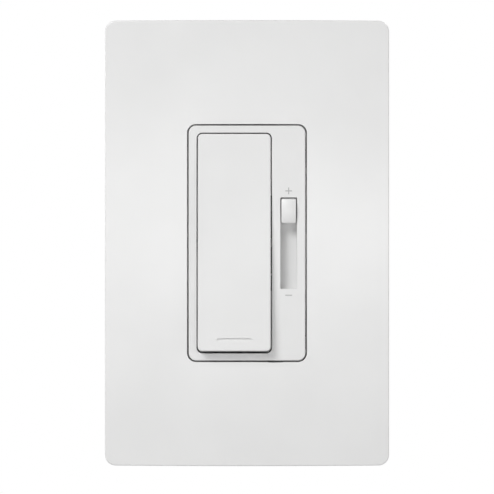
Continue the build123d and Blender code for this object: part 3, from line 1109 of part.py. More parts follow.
# ---------------------------------------------------------------- back housing
POST_R = 2.7
LEDGE_REACH, LEDGE_L, LEDGE_Z = 1.2, 4.0, 3.0
INNER_W, INNER_H = HOUSING_W - 2 * HOUSING_WALL, HOUSING_H - 2 * HOUSING_WALL
PANEL_W, PANEL_H, PANEL_DEPTH, PANEL_CORNER_R = 32.0, 44.0, 0.4, 1.5
GAUGE_L, GAUGE_W, GAUGE_DEPTH, GAUGE_Z = 16.0, 1.6, 0.6, -27.0
GROOVE_COUNT, GROOVE_PITCH, GROOVE_W, GROOVE_L, GROOVE_DEPTH, GROOVE_Y = 7, 4.2, 1.6, 18.0, 0.6, 15.0
BARRIER_OFFSET, BARRIER_T, BARRIER_REACH, BARRIER_L = 6.0, 1.4, 2.4, 10.0
BARRIERS = sorted({(side, z + end * BARRIER_OFFSET) for side, z in TERMINALS for end in (-1, 1)})

with BuildPart() as back_housing:
    with BuildSketch(depth(HOUSING_BACK_Y)):
        RectangleRounded(HOUSING_W, HOUSING_H, HOUSING_CORNER_R)
    extrude(amount=HOUSING_BACK_Y - STRAP_BACK_Y)
    fillet(back_housing.faces().sort_by(Axis.Y)[-1].edges(), HOUSING_WALL / 2)
    # A sunk panel and a groove to measure stripped wire by on the back, and cooling grooves in both ends.
    with BuildSketch(depth(HOUSING_BACK_Y)):
        RectangleRounded(PANEL_W, PANEL_H, PANEL_CORNER_R)
    extrude(amount=PANEL_DEPTH, mode=Mode.SUBTRACT)
    with BuildSketch(depth(HOUSING_BACK_Y)):
        with Locations((0, GAUGE_Z)):
            SlotOverall(GAUGE_L, GAUGE_W)
    extrude(amount=GAUGE_DEPTH, mode=Mode.SUBTRACT)
    with Locations((0, GROOVE_Y, HOUSING_H / 2), (0, GROOVE_Y, -HOUSING_H / 2)):
        with GridLocations(GROOVE_PITCH, 1, GROOVE_COUNT, 1):
            Box(GROOVE_W, GROOVE_L, 2 * GROOVE_DEPTH, mode=Mode.SUBTRACT)
    # Barriers on both sides of each terminal.
    for side, z in BARRIERS:
        with Locations((side * HOUSING_W / 2, TERMINAL_Y, z)):
            Box(2 * BARRIER_REACH, BARRIER_L, BARRIER_T)
    with BuildSketch(depth(HOUSING_BACK_Y - HOUSING_WALL)):
        RectangleRounded(INNER_W, INNER_H, HOUSING_CORNER_R - HOUSING_WALL)
    extrude(amount=HOUSING_BACK_Y - HOUSING_WALL - STRAP_BACK_Y, mode=Mode.SUBTRACT)
    with BuildSketch(depth(HOUSING_BACK_Y - HOUSING_WALL)):
        with Locations(*HOUSING_SCREW_SPOTS):
            Circle(POST_R)
    extrude(amount=HOUSING_BACK_Y - HOUSING_WALL - STRAP_BACK_Y)
    # Ledges that carry the circuit board.
    for side in (-1, 1):
        with Locations((side * INNER_W / 2, BOARD_BACK_Y, LEDGE_Z)):
            Box(
                2 * LEDGE_REACH,
                HOUSING_BACK_Y - HOUSING_WALL - BOARD_BACK_Y,
                LEDGE_L,
                align=(Align.CENTER, Align.MIN, Align.CENTER),
            )
        with Locations((0, BOARD_BACK_Y, side * INNER_H / 2)):
            Box(
                LEDGE_L,
                HOUSING_BACK_Y - HOUSING_WALL - BOARD_BACK_Y,
                2 * LEDGE_REACH,
                align=(Align.CENTER, Align.MIN, Align.CENTER),
            )
    with BuildSketch(depth(HOUSING_SCREW_L)):
        with Locations(*HOUSING_SCREW_SPOTS):
            Circle(THREAD_5_R + RUNNING_GAP)
    extrude(amount=HOUSING_SCREW_L - STRAP_BACK_Y, mode=Mode.SUBTRACT)
    for side, z in TERMINALS:
        with BuildSketch(across(side * POCKET_X)):
            with Locations((TERMINAL_Y, z)):
                RectangleRounded(TERMINAL_W + 4 * RUNNING_GAP, TERMINAL_H + 4 * RUNNING_GAP, KNOB_EDGE_R)
        extrude(amount=side * HOUSING_WALL, mode=Mode.SUBTRACT)
        with BuildSketch(across(side * TERMINAL_SCREW_END_X)):
            with Locations((TERMINAL_Y, z)):
                Circle(THREAD_8_R + RUNNING_GAP)
            with Locations((TERMINAL_Y, z + TONGUE_Z)):
                Rectangle(TONGUE_W + 2 * RUNNING_GAP, TONGUE_T + 2 * RUNNING_GAP)
        extrude(amount=side * (HOUSING_W / 2 - TERMINAL_SCREW_END_X), mode=Mode.SUBTRACT)
back_housing.part.label = "back_housing"
export_step(back_housing.part, "parts/back_housing.step")
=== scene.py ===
import json
from math import ceil, cos, pi, radians, sin, sqrt, tau

import bmesh
import bpy
from mathutils import Matrix, Vector


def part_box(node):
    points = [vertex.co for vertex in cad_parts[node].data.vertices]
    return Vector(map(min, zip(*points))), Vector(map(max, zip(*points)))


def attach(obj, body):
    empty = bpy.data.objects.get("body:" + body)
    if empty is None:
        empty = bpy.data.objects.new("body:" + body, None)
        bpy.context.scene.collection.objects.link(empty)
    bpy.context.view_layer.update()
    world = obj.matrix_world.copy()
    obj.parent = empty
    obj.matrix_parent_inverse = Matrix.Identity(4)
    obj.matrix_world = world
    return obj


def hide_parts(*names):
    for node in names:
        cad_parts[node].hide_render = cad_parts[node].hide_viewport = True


# Looks of a slide dimmer with a paddle switch. Metres; +X right, +Y into the wall, +Z up.
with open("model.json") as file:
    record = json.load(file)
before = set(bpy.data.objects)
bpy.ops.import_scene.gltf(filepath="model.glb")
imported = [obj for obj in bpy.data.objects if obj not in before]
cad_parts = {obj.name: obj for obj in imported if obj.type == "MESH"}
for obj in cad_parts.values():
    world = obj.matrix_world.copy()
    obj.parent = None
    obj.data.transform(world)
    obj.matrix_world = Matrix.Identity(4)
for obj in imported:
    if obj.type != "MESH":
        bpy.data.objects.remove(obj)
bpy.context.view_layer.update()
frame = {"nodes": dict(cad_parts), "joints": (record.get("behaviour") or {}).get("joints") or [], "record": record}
NODES = frame["nodes"]
MM = 0.001


def middle(box):
    """The middle of a box given by its low and high corner."""
    return (box[0] + box[1]) / 2


# ---------------------------------------------------------------- camera, world and light
# The camera stands VIEW_DISTANCE in front of the plate, where its picture is VIEW_WIDTH wide.
VIEW_DISTANCE = 0.62
VIEW_WIDTH = 0.1386
VIEW_DROP = 0.0011
SENSOR = 36.0
CLIP_START = 0.01


def make_camera():
    """A long lens straight in front of the plate, a little below its middle."""
    data = bpy.data.cameras.new("camera")
    data.sensor_width = SENSOR
    data.lens = SENSOR * VIEW_DISTANCE / VIEW_WIDTH
    data.clip_start = CLIP_START
    camera = bpy.data.objects.new("camera", data)
    plate_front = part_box("wall_plate_cover")[0].y
    camera.location = (0, plate_front - VIEW_DISTANCE, -VIEW_DROP)
    camera.rotation_euler = (pi / 2, 0, 0)
    bpy.context.scene.collection.objects.link(camera)
    bpy.context.scene.camera = camera


def area_light(name, position, size, power):
    """A softbox that faces the object, in metres and watts, and that the camera doesn't see."""
    data = bpy.data.lights.new(name, "AREA")
    data.shape = "RECTANGLE"
    data.size, data.size_y = size
    data.energy = power
    light = bpy.data.objects.new(name, data)
    light.location = position
    light.rotation_euler = (-Vector(position)).to_track_quat("-Z", "Y").to_euler()
    light.visible_camera = False
    bpy.context.scene.collection.objects.link(light)


def make_world():
    """White where the camera looks past the object, with no light of its own."""
    world = bpy.data.worlds.new("studio")
    bpy.context.scene.world = world
    world.use_nodes = True
    nodes, links = world.node_tree.nodes, world.node_tree.links
    nodes.clear()
    path = nodes.new("ShaderNodeLightPath")
    backdrop = nodes.new("ShaderNodeBackground")
    backdrop.inputs["Color"].default_value = (1, 1, 1, 1)
    out = nodes.new("ShaderNodeOutputWorld")
    links.new(path.outputs["Is Camera Ray"], backdrop.inputs["Strength"])
    links.new(backdrop.outputs["Background"], out.inputs["Surface"])


make_camera()
make_world()
area_light("key_upper_left", position=(-3.2, -4.0, 4.0), size=(2.8, 2.8), power=272)
area_light("fill_right", position=(5.2, -2.0, 0.4), size=(2.0, 2.0), power=56)
area_light("fill_top", position=(0.0, -0.4, 0.5), size=(0.9, 0.3), power=1.0)
area_light("front_strip", position=(0.0, -0.2, 0.004), size=(0.34, 0.02), power=0.157)
area_light("back_right", position=(3.0, 3.8, 3.0), size=(2.8, 2.8), power=200)
area_light("back_left", position=(-3.8, 2.6, 1.0), size=(2.0, 2.0), power=100)
bpy.context.scene.view_settings.view_transform = "Standard"


# ---------------------------------------------------------------- material helpers
MATERIALS = {}


def shader_tree(name):
    """A new material, kept in MATERIALS under its name: its nodes, links and Principled shader."""
    material = bpy.data.materials.new(name)
    material.use_nodes = True
    MATERIALS[name] = material
    nodes, links = material.node_tree.nodes, material.node_tree.links
    return nodes, links, nodes["Principled BSDF"]


def stretched_place(nodes, links, stretch=(1, 1, 1)):
    """The point in the object's own metres, multiplied by stretch along each axis."""
    place = nodes.new("ShaderNodeTexCoord")
    mapping = nodes.new("ShaderNodeMapping")
    mapping.inputs["Scale"].default_value = stretch
    links.new(place.outputs["Object"], mapping.inputs["Vector"])
    return mapping.outputs["Vector"]


def object_noise(nodes, links, scale, detail=3.0, stretch=(1, 1, 1)):
    """Soft noise; scale is the number of grains in a metre."""
    noise = nodes.new("ShaderNodeTexNoise")
    noise.inputs["Scale"].default_value = scale
    noise.inputs["Detail"].default_value = detail
    links.new(stretched_place(nodes, links, stretch), noise.inputs["Vector"])
    return noise.outputs["Fac"]


def object_cells(nodes, links, scale, feature="F1", distance="EUCLIDEAN", output="Distance"):
    """Voronoi cells; scale is the number of cells in a metre."""
    cells = nodes.new("ShaderNodeTexVoronoi")
    cells.feature = feature
    cells.distance = distance
    cells.inputs["Scale"].default_value = scale
    links.new(stretched_place(nodes, links), cells.inputs["Vector"])
    return cells.outputs[output]


def tint(nodes, links, factor, dark, light, low=0.35, high=0.65):
    """A colour that runs from dark to light as factor goes from low to high."""
    ramp = nodes.new("ShaderNodeValToRGB")
    ramp.color_ramp.elements[0].position = low
    ramp.color_ramp.elements[1].position = high
    ramp.color_ramp.elements[0].color = (*dark, 1)
    ramp.color_ramp.elements[1].color = (*light, 1)
    links.new(factor, ramp.inputs["Fac"])
    return ramp.outputs["Color"]


def span(nodes, links, factor, low, high):
    """A factor from 0 to 1 mapped to low to high."""
    mapped = nodes.new("ShaderNodeMapRange")
    mapped.inputs["To Min"].default_value = low
    mapped.inputs["To Max"].default_value = high
    links.new(factor, mapped.inputs["Value"])
    return mapped.outputs["Result"]


def bump(nodes, links, shader, height, depth):
    """Relief of that depth in metres, added to the shader's normal."""
    node = nodes.new("ShaderNodeBump")
    node.inputs["Distance"].default_value = depth
    links.new(height, node.inputs["Height"])
    links.new(node.outputs["Normal"], shader.inputs["Normal"])


def shade(colour, factor):
    """A colour made darker or lighter."""
    return tuple(channel * factor for channel in colour)


# ---------------------------------------------------------------- materials
def moulded_plastic(name, colour, roughness, grain=2600, relief=0.012 * MM, spread=0.015, ior=1.5):
    """Plastic with the fine grain of its mould and a faint drift in shade and gloss."""
    nodes, links, shader = shader_tree(name)
    shader.inputs["IOR"].default_value = ior
    drift = object_noise(nodes, links, scale=45, detail=2)
    cast = tint(nodes, links, drift, shade(colour, 1 - spread), shade(colour, 1 + spread))
    links.new(cast, shader.inputs["Base Color"])
    fine = object_noise(nodes, links, scale=grain, detail=4)
    links.new(span(nodes, links, fine, roughness - 0.05, roughness + 0.05), shader.inputs["Roughness"])
    bump(nodes, links, shader, fine, relief)


def textured_plastic(name, colour, roughness):
    """Plastic from a spark-eroded mould: small round pits and a slight drift in shade."""
    nodes, links, shader = shader_tree(name)
    drift = object_noise(nodes, links, scale=70, detail=3)
    cast = tint(nodes, links, drift, shade(colour, 0.85), shade(colour, 1.2))
    links.new(cast, shader.inputs["Base Color"])
    pits = object_cells(nodes, links, scale=1900)
    links.new(span(nodes, links, pits, roughness + 0.1, roughness - 0.12), shader.inputs["Roughness"])
    bump(nodes, links, shader, pits, 0.05 * MM)


def worked_metal(name, colour, roughness, stretch=(1, 1, 12), grain=900, spread=0.1):
    """Sheet or turned metal: streaks along one direction, with a few dull patches."""
    nodes, links, shader = shader_tree(name)
    shader.inputs["Metallic"].default_value = 1.0
    streaks = object_noise(nodes, links, scale=grain, detail=5, stretch=stretch)
    patches = object_noise(nodes, links, scale=160, detail=3)
    cast = tint(nodes, links, patches, shade(colour, 1 - spread), shade(colour, 1 + spread / 2))
    links.new(cast, shader.inputs["Base Color"])
    links.new(span(nodes, links, streaks, roughness - 0.12, roughness + 0.12), shader.inputs["Roughness"])
    bump(nodes, links, shader, streaks, 0.01 * MM)


def galvanised_metal(name, colour, roughness):
    """Zinc-coated sheet steel: faint crystals, each with its own shade and gloss."""
    nodes, links, shader = shader_tree(name)
    shader.inputs["Metallic"].default_value = 1.0
    crystals = object_cells(nodes, links, scale=420, output="Color")
    grey = nodes.new("ShaderNodeRGBToBW")
    links.new(crystals, grey.inputs["Color"])
    level = grey.outputs["Val"]
    cast = tint(nodes, links, level, shade(colour, 0.92), colour, low=0.1, high=0.9)
    links.new(cast, shader.inputs["Base Color"])
    links.new(span(nodes, links, level, roughness - 0.04, roughness + 0.06), shader.inputs["Roughness"])
    bump(nodes, links, shader, object_noise(nodes, links, scale=1400, detail=4), 0.012 * MM)


def coated(name, colour, roughness, coat, grain=500, relief=0.02 * MM, metallic=0.0, spread=0.17):
    """A lacquered, dipped or enamelled body: an uneven colour under a clear coat."""
    nodes, links, shader = shader_tree(name)
    shader.inputs["Metallic"].default_value = metallic
    shader.inputs["Coat Weight"].default_value = coat
    shader.inputs["Coat Roughness"].default_value = 0.12
    clouds = object_noise(nodes, links, scale=grain, detail=3)
    cast = tint(nodes, links, clouds, shade(colour, 1 - spread), shade(colour, 1 + spread))
    links.new(cast, shader.inputs["Base Color"])
    links.new(span(nodes, links, clouds, roughness - 0.08, roughness + 0.08), shader.inputs["Roughness"])
    bump(nodes, links, shader, clouds, relief)


def sintered(name, colour):
    """Pressed and fired powder: open grain and dull specks."""
    nodes, links, shader = shader_tree(name)
    grains = object_cells(nodes, links, scale=2600)
    specks = object_noise(nodes, links, scale=1200, detail=5)
    cast = tint(nodes, links, specks, shade(colour, 0.6), shade(colour, 1.5), low=0.3, high=0.75)
    links.new(cast, shader.inputs["Base Color"])
    links.new(span(nodes, links, grains, 0.75, 0.5), shader.inputs["Roughness"])
    bump(nodes, links, shader, grains, 0.04 * MM)


def banded_body(name, body, centre_z, bands):
    """A varnished cylinder along Z about centre_z with coloured rings: (from, to, colour) in metres."""
    nodes, links, shader = shader_tree(name)
    reach = max(abs(edge) for start, end, _ in bands for edge in (start, end)) + MM
    split = nodes.new("ShaderNodeSeparateXYZ")
    links.new(stretched_place(nodes, links), split.inputs["Vector"])
    along = nodes.new("ShaderNodeMapRange")
    along.inputs["From Min"].default_value = centre_z - reach
    along.inputs["From Max"].default_value = centre_z + reach
    links.new(split.outputs["Z"], along.inputs["Value"])
    ramp = nodes.new("ShaderNodeValToRGB")
    ramp.color_ramp.interpolation = "CONSTANT"
    stops = ramp.color_ramp.elements
    stops[0].color = (*body, 1)
    stops.remove(stops[1])
    for start, end, colour in bands:
        stops.new((start + reach) / (2 * reach)).color = (*colour, 1)
        stops.new((end + reach) / (2 * reach)).color = (*body, 1)
    links.new(along.outputs["Result"], ramp.inputs["Fac"])
    links.new(ramp.outputs["Color"], shader.inputs["Base Color"])
    haze = object_noise(nodes, links, scale=900, detail=3)
    links.new(span(nodes, links, haze, 0.25, 0.45), shader.inputs["Roughness"])
    bump(nodes, links, shader, haze, 0.03 * MM)


def board_laminate(name):
    """Circuit board: square copper areas, lighter under the green mask, with gaps between them."""
    nodes, links, shader = shader_tree(name)
    nearest = object_cells(nodes, links, scale=130, feature="F1", distance="CHEBYCHEV")
    second = object_cells(nodes, links, scale=130, feature="F2", distance="CHEBYCHEV")
    border = nodes.new("ShaderNodeMath")
    border.operation = "SUBTRACT"
    links.new(second, border.inputs[0])
    links.new(nearest, border.inputs[1])
    gaps = border.outputs["Value"]
    bare, copper = (0.01, 0.045, 0.02), (0.028, 0.12, 0.048)
    links.new(tint(nodes, links, gaps, bare, copper, low=0.06, high=0.075), shader.inputs["Base Color"])
    weave = object_noise(nodes, links, scale=1500, detail=2, stretch=(1, 1, 4))
    links.new(span(nodes, links, weave, 0.25, 0.4), shader.inputs["Roughness"])
    bump(nodes, links, shader, span(nodes, links, gaps, 0.0, 3.0), 0.03 * MM)


def fibre_sheet(name, colour):
    """Pressed fibre or felt-like padding: crossed threads and a matt face."""
    nodes, links, shader = shader_tree(name)
    threads = object_noise(nodes, links, scale=1800, detail=4, stretch=(1, 1, 5))
    cast = tint(nodes, links, threads, shade(colour, 0.8), shade(colour, 1.15))
    links.new(cast, shader.inputs["Base Color"])
    links.new(span(nodes, links, threads, 0.75, 0.95), shader.inputs["Roughness"])
    bump(nodes, links, shader, threads, 0.03 * MM)


WHITE = (0.745, 0.745, 0.742)
ZINC = (0.62, 0.62, 0.61)
BRASS = (0.66, 0.45, 0.17)
BLACK_BAND, BROWN_BAND = (0.01, 0.01, 0.01), (0.16, 0.05, 0.02)
ORANGE_BAND, GOLD_BAND, INK_BAND = (0.72, 0.18, 0.02), (0.5, 0.32, 0.06), (0.02, 0.02, 0.03)
RESISTOR_Z = middle(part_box("resistors")).z
RESISTOR_BANDS = [
    (-2.3 * MM, -1.7 * MM, BROWN_BAND),
    (-1.1 * MM, -0.5 * MM, BLACK_BAND),
    (0.1 * MM, 0.7 * MM, ORANGE_BAND),
    (1.7 * MM, 2.3 * MM, GOLD_BAND),
]
DIAC_Z = middle(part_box("diac")).z
DIAC_BANDS = [(-1.5 * MM, -0.9 * MM, INK_BAND)]

moulded_plastic("plate_white", WHITE, 0.34, ior=1.62)
# The bezel, paddle, knob and shutter are the plate's white plastic; their darker shades are painted shade for how
# much light each part gets, deepest on the shutter, which lies in the shade of the slot.
moulded_plastic("bezel_white_painted_shade", shade(WHITE, 0.95), 0.6)
moulded_plastic("paddle_white_painted_shade", shade(WHITE, 0.966), 0.55)
moulded_plastic("knob_white_painted_shade", shade(WHITE, 0.95), 0.4)
moulded_plastic("shutter_white_painted_shade", shade(WHITE, 0.88), 0.6)
moulded_plastic("carrier_white", shade(WHITE, 0.97), 0.5, grain=1500, relief=0.02 * MM, spread=0.03)
moulded_plastic("mark_grey", (0.42, 0.42, 0.42), 0.6, grain=4000, relief=0.01 * MM, spread=0.05)
coated("screw_paint", WHITE, 0.35, coat=0.2, grain=900, relief=0.01 * MM)
galvanised_metal("strap_zinc", (0.6, 0.6, 0.59), 0.38)
worked_metal("screw_zinc", ZINC, 0.32, stretch=(1, 6, 1), grain=1300)
galvanised_metal("washer_zinc", ZINC, 0.3)
galvanised_metal("pot_tin", (0.68, 0.68, 0.66), 0.3)
worked_metal("tinned", (0.72, 0.72, 0.7), 0.3, stretch=(1, 4, 1), grain=1500)
worked_metal("solder", (0.66, 0.67, 0.68), 0.22, stretch=(1, 1, 1), grain=1100)
worked_metal("spring_steel", (0.42, 0.42, 0.43), 0.28, stretch=(1, 8, 1), grain=1500)
worked_metal("silver", (0.86, 0.85, 0.82), 0.3, stretch=(1, 1, 1), grain=1500)
worked_metal("copper", (0.72, 0.33, 0.19), 0.34, stretch=(8, 1, 1), grain=900, spread=0.15)
worked_metal("bronze", (0.6, 0.36, 0.18), 0.34, stretch=(1, 1, 8), grain=1200, spread=0.12)
worked_metal("brass", BRASS, 0.3, stretch=(1, 1, 10), grain=1000, spread=0.12)
worked_metal("brass_turned", BRASS, 0.24, stretch=(6, 1, 1), grain=1400)
worked_metal("black_oxide", (0.05, 0.05, 0.055), 0.42, stretch=(6, 1, 1), grain=1300, spread=0.3)
coated("green_screw", (0.01, 0.2, 0.06), 0.34, coat=0.3, grain=900, metallic=0.6)
worked_metal("tab_nickel", (0.6, 0.57, 0.52), 0.34, stretch=(1, 1, 9), grain=1000)
moulded_plastic("nylon", (0.62, 0.6, 0.52), 0.38, grain=1600, relief=0.02 * MM, spread=0.05)
moulded_plastic("phenolic", (0.09, 0.045, 0.028), 0.42, grain=1200, relief=0.03 * MM, spread=0.2)
moulded_plastic("lever_black", (0.025, 0.025, 0.027), 0.45, grain=1600, relief=0.02 * MM, spread=0.2)
moulded_plastic("dial_grey", (0.5, 0.5, 0.5), 0.4, grain=1800, relief=0.02 * MM, spread=0.05)
moulded_plastic("trim_blue", (0.03, 0.12, 0.38), 0.4, grain=1500, relief=0.03 * MM, spread=0.12)
textured_plastic("epoxy", (0.022, 0.022, 0.024), 0.55)
textured_plastic("housing_charcoal", (0.04, 0.042, 0.045), 0.5)
fibre_sheet("pad_grey", (0.38, 0.4, 0.42))
fibre_sheet("fibre_tan", (0.42, 0.29, 0.16))
coated("track_brown", (0.12, 0.06, 0.03), 0.5, coat=0.1, grain=700)
sintered("ferrite", (0.045, 0.047, 0.05))
coated("enamel", (0.6, 0.2, 0.08), 0.26, coat=0.8, grain=700, relief=0.01 * MM, metallic=0.85)
coated("film_yellow", (0.66, 0.45, 0.08), 0.38, coat=0.3, grain=300, spread=0.05)
coated("dip_brown", (0.34, 0.12, 0.04), 0.32, coat=0.5, grain=350, relief=0.06 * MM)
banded_body("resistor_tan", (0.55, 0.4, 0.25), RESISTOR_Z, RESISTOR_BANDS)
banded_body("diac_blue", (0.05, 0.12, 0.4), DIAC_Z, DIAC_BANDS)
board_laminate("board")

NODE_MATERIALS = {
    "wall_plate_cover": "plate_white",
    "wall_plate_frame": "carrier_white",
    "wall_plate_screws": "screw_paint",
    "mounting_strap": "strap_zinc",
    "box_screws": "screw_zinc",
    "screw_retainers": "fibre_tan",
    "front_bezel": "bezel_white_painted_shade",
    "level_marks": "mark_grey",
    "rocker_paddle": "paddle_white_painted_shade",
    "detent_plunger": "nylon",
    "detent_spring": "spring_steel",
    "contact_lever": "copper",
    "lever_contacts": "silver",
    "contact_tips": "silver",
    "contact_strips": "brass",
    "fulcrum_bracket": "brass",
    "switch_base": "phenolic",
    "slide_knob": "knob_white_painted_shade",
    "slide_shutter": "shutter_white_painted_shade",
    "slide_lever": "lever_black",
    "wiper_fingers": "bronze",
    "pot_shell": "pot_tin",
    "pot_track": "track_brown",
    "pot_pins": "tinned",
    "trim_dial": "dial_grey",
    "trim_body": "trim_blue",
    "triac_body": "epoxy",
    "triac_tab": "tab_nickel",
    "triac_leads": "tinned",
    "triac_insulator": "pad_grey",
    "triac_screw": "screw_zinc",
    "triac_nut": "washer_zinc",
    "choke_core": "ferrite",
    "choke_winding": "enamel",
    "film_capacitor": "film_yellow",
    "timing_capacitors": "dip_brown",
    "resistors": "resistor_tan",
    "diac": "diac_blue",
    "component_leads": "tinned",
    "circuit_board": "board",
    "back_housing": "housing_charcoal",
    "housing_screws": "screw_zinc",
    "terminal_plates": "brass",
    "clamp_washers": "washer_zinc",
    "brass_terminal_screws": "brass_turned",
    "black_terminal_screw": "black_oxide",
    "ground_screw": "green_screw",
}


def dress(node, material):
    """Gives a CAD node one material."""
    slots = NODES[node].data.materials
    slots.clear()
    slots.append(material)


for node, name in NODE_MATERIALS.items():
    dress(node, MATERIALS[name])


# ---------------------------------------------------------------- mesh helpers
BODIES = frame["record"]["behaviour"]["bodies"]
NODE_BODIES = {node: body for body, nodes in BODIES.items() for node in nodes}
SHARP_ANGLE = radians(40)
WELD = 0.02 * MM
# Columns round a turned piece, and rings along one pitch of a thread.
COLUMNS = 36
RINGS_PER_PITCH = 6
# Slope of a thread's flanks: 1 would leave no flat on its crest.
FLANK_SLOPE = 1.3


def solids_of(node):
    """Low and high corner of each separate solid in a CAD node, ordered by X, then Z, to 0.1 mm."""
    shape = bmesh.new()
    shape.from_mesh(NODES[node].data)
    bmesh.ops.remove_doubles(shape, verts=shape.verts, dist=WELD)
    waiting = set(shape.verts)
    boxes = []
    while waiting:
        stack = [waiting.pop()]
        points = []
        while stack:
            vertex = stack.pop()
            points.append(vertex.co.copy())
            for edge in vertex.link_edges:
                other = edge.other_vert(vertex)
                if other in waiting:
                    waiting.remove(other)
                    stack.append(other)
        low = Vector([min(point[axis] for point in points) for axis in range(3)])
        high = Vector([max(point[axis] for point in points) for axis in range(3)])
        boxes.append((low, high))
    shape.free()
    return sorted(boxes, key=lambda box: (round(box[0].x, 4), round(box[0].z, 4)))


def new_object(name, vertices, faces):
    """A mesh object in the scene."""
    mesh = bpy.data.meshes.new(name)
    mesh.from_pydata([tuple(vertex) for vertex in vertices], [], faces)
    thing = bpy.data.objects.new(name, mesh)
    bpy.context.scene.collection.objects.link(thing)
    return thing


def stand_in(name, vertices, faces, node, material=None, replace=True):
    """A finished piece that belongs with a CAD node: its body and its material."""
    piece = new_object(name, vertices, faces)
    piece.data.materials.append(material or MATERIALS[NODE_MATERIALS[node]])
    piece.data.shade_smooth()
    piece.data.set_sharp_from_angle(angle=SHARP_ANGLE)
    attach(piece, NODE_BODIES[node])
    if replace:
        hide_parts(node)


def block(low, high):
    """Vertices and faces of a box, as a cutter."""
    vertices = [(x, y, z) for x in (low[0], high[0]) for y in (low[1], high[1]) for z in (low[2], high[2])]
    faces = [(0, 1, 3, 2), (4, 6, 7, 5), (0, 4, 5, 1), (2, 3, 7, 6), (0, 2, 6, 4), (1, 5, 7, 3)]
    return vertices, faces


def carved(shape, cutters):
    """Vertices and faces of a closed shape with each cutter taken out of it."""
    body = new_object("carved", *shape)
    tools = [new_object("cutter", *cutter) for cutter in cutters]
    for tool in tools:
        cut = body.modifiers.new("cut", "BOOLEAN")
        cut.operation = "DIFFERENCE"
        cut.solver = "EXACT"
        cut.object = tool
    graph = bpy.context.evaluated_depsgraph_get()
    result = bpy.data.meshes.new_from_object(body.evaluated_get(graph))
    vertices = [vertex.co.copy() for vertex in result.vertices]
    faces = [tuple(polygon.vertices) for polygon in result.polygons]
    for thing in (body, *tools):
        bpy.data.objects.remove(thing)
    return vertices, faces


def copies(shape, places):
    """One shape repeated at each matrix."""
    vertices, faces = [], []
    for place in places:
        start = len(vertices)
        vertices += [place @ Vector(vertex) for vertex in shape[0]]
        faces += [tuple(start + corner for corner in face) for face in shape[1]]
    return vertices, faces


def lathe(rings):
    """A closed solid about Z from rings of (height, radius at each column)."""
    vertices, faces = [], []
    for height, radii in rings:
        for column, radius in enumerate(radii):
            angle = tau * column / COLUMNS
            vertices.append(Vector((radius * cos(angle), radius * sin(angle), height)))
    for ring in range(len(rings) - 1):
        here, above = ring * COLUMNS, (ring + 1) * COLUMNS
        for column in range(COLUMNS):
            beside = (column + 1) % COLUMNS
            faces.append((here + column, here + beside, above + beside, above + column))
    top = (len(rings) - 1) * COLUMNS
    faces.append(tuple(reversed(range(COLUMNS))))
    faces.append(tuple(top + column for column in range(COLUMNS)))
    return vertices, faces


def round_rings(profile):
    """Plain round rings from (height, radius) points."""
    return [(height, [radius] * COLUMNS) for height, radius in profile]


def thread_rings(start, end, crest, root, pitch):
    """Rings of a screw thread that runs out at both ends, with a flat crest."""
    steps = ceil((end - start) / pitch * RINGS_PER_PITCH)
    rings = []
    for step in range(steps + 1):
        height = start + (end - start) * step / steps
        fade = min(1, (height - start) / pitch, (end - height) / pitch)
        radii = []
        for column in range(COLUMNS):
            turn = (height / pitch - column / COLUMNS) % 1
            rise = min(1, FLANK_SLOPE * abs(2 * turn - 1))
            radii.append(root + (crest - root) * rise * fade)
        rings.append((height, radii))
    return rings


def hexagon_ring(height, apothem):
    """A six-sided ring with flats at that distance from the axis."""
    sixth = tau / 6
    radii = []
    for column in range(COLUMNS):
        angle = (tau * column / COLUMNS) % sixth - sixth / 2
        radii.append(apothem / cos(angle))
    return height, radii


def facing(point, direction):
    """A matrix that takes +Z to direction and the origin to point."""
    turn = Vector((0, 0, 1)).rotation_difference(Vector(direction)).to_matrix().to_4x4()
    return Matrix.Translation(point) @ turn


# ---------------------------------------------------------------- screws
# Each is drawn with its head's face at height 0 and its tip at the end of +Z.

# Depth of a thread as a share of its pitch.
THREAD_DEPTH = 0.61
PITCH_6_32, PITCH_8_32, PITCH_TAPPING, PITCH_M3 = 0.794 * MM, 0.794 * MM, 1.1 * MM, 0.5 * MM
# The tip narrows to TIP_SHARE of the root over TIP_LENGTH.
TIP_LENGTH, TIP_SHARE = 0.6 * MM, 0.75
DRIVER_SLOT_W = 0.9 * MM


def pan_head(radius, height):
    """A domed head that is flat underneath."""
    dome = [(0, 0.5), (0.04, 0.68), (0.14, 0.83), (0.3, 0.94), (0.5, 0.99), (0.62, 1.0), (1.0, 1.0)]
    return round_rings([(height * up, radius * out) for up, out in dome])


def binding_head(radius, height):
    """A low head with a rounded rim."""
    rim = [(0, 0.86), (0.08, 0.93), (0.22, 0.98), (0.4, 1.0), (1.0, 1.0)]
    return round_rings([(height * up, radius * out) for up, out in rim])


def flat_head(radius, shank_r, height):
    """A countersunk head."""
    return round_rings([(0, radius * 0.985), (height * 0.06, radius), (height, shank_r)])


def hexagon_head(apothem, height):
    """A six-sided head whose face is round and chamfered."""
    chamfer = [(0.15, 0.97), (0.3, 1.0), (1.0, 1.0)]
    face = round_rings([(0, apothem * 0.9)])
    return face + [hexagon_ring(height * up, apothem * out) for up, out in chamfer]


def screw(head, neck_r, thread_start, length, crest, pitch):
    """A whole screw: the rings of its head, a plain neck, the thread and a blunt tip."""
    root = crest - THREAD_DEPTH * pitch
    head_back = head[-1][0]
    neck = round_rings([(head_back, neck_r), (thread_start, neck_r)])
    thread = thread_rings(thread_start, length - TIP_LENGTH, crest, root, pitch)
    tip = round_rings([(length, root * TIP_SHARE)])
    return lathe(head + neck + thread + tip)


def cross_cutters(size, width, depth):
    """Two crossed boxes for a driver recess."""
    return [
        block((-size / 2, -width / 2, -depth), (size / 2, width / 2, depth)),
        block((-width / 2, -size / 2, -depth), (width / 2, size / 2, depth)),
    ]


def slotted(shape, radius, depth):
    """A screw with a straight driver slot right across its head, along local X."""
    reach = 1.5 * radius
    half_w = DRIVER_SLOT_W / 2
    return carved(shape, [block((-reach, -half_w, -depth), (reach, half_w, depth))])


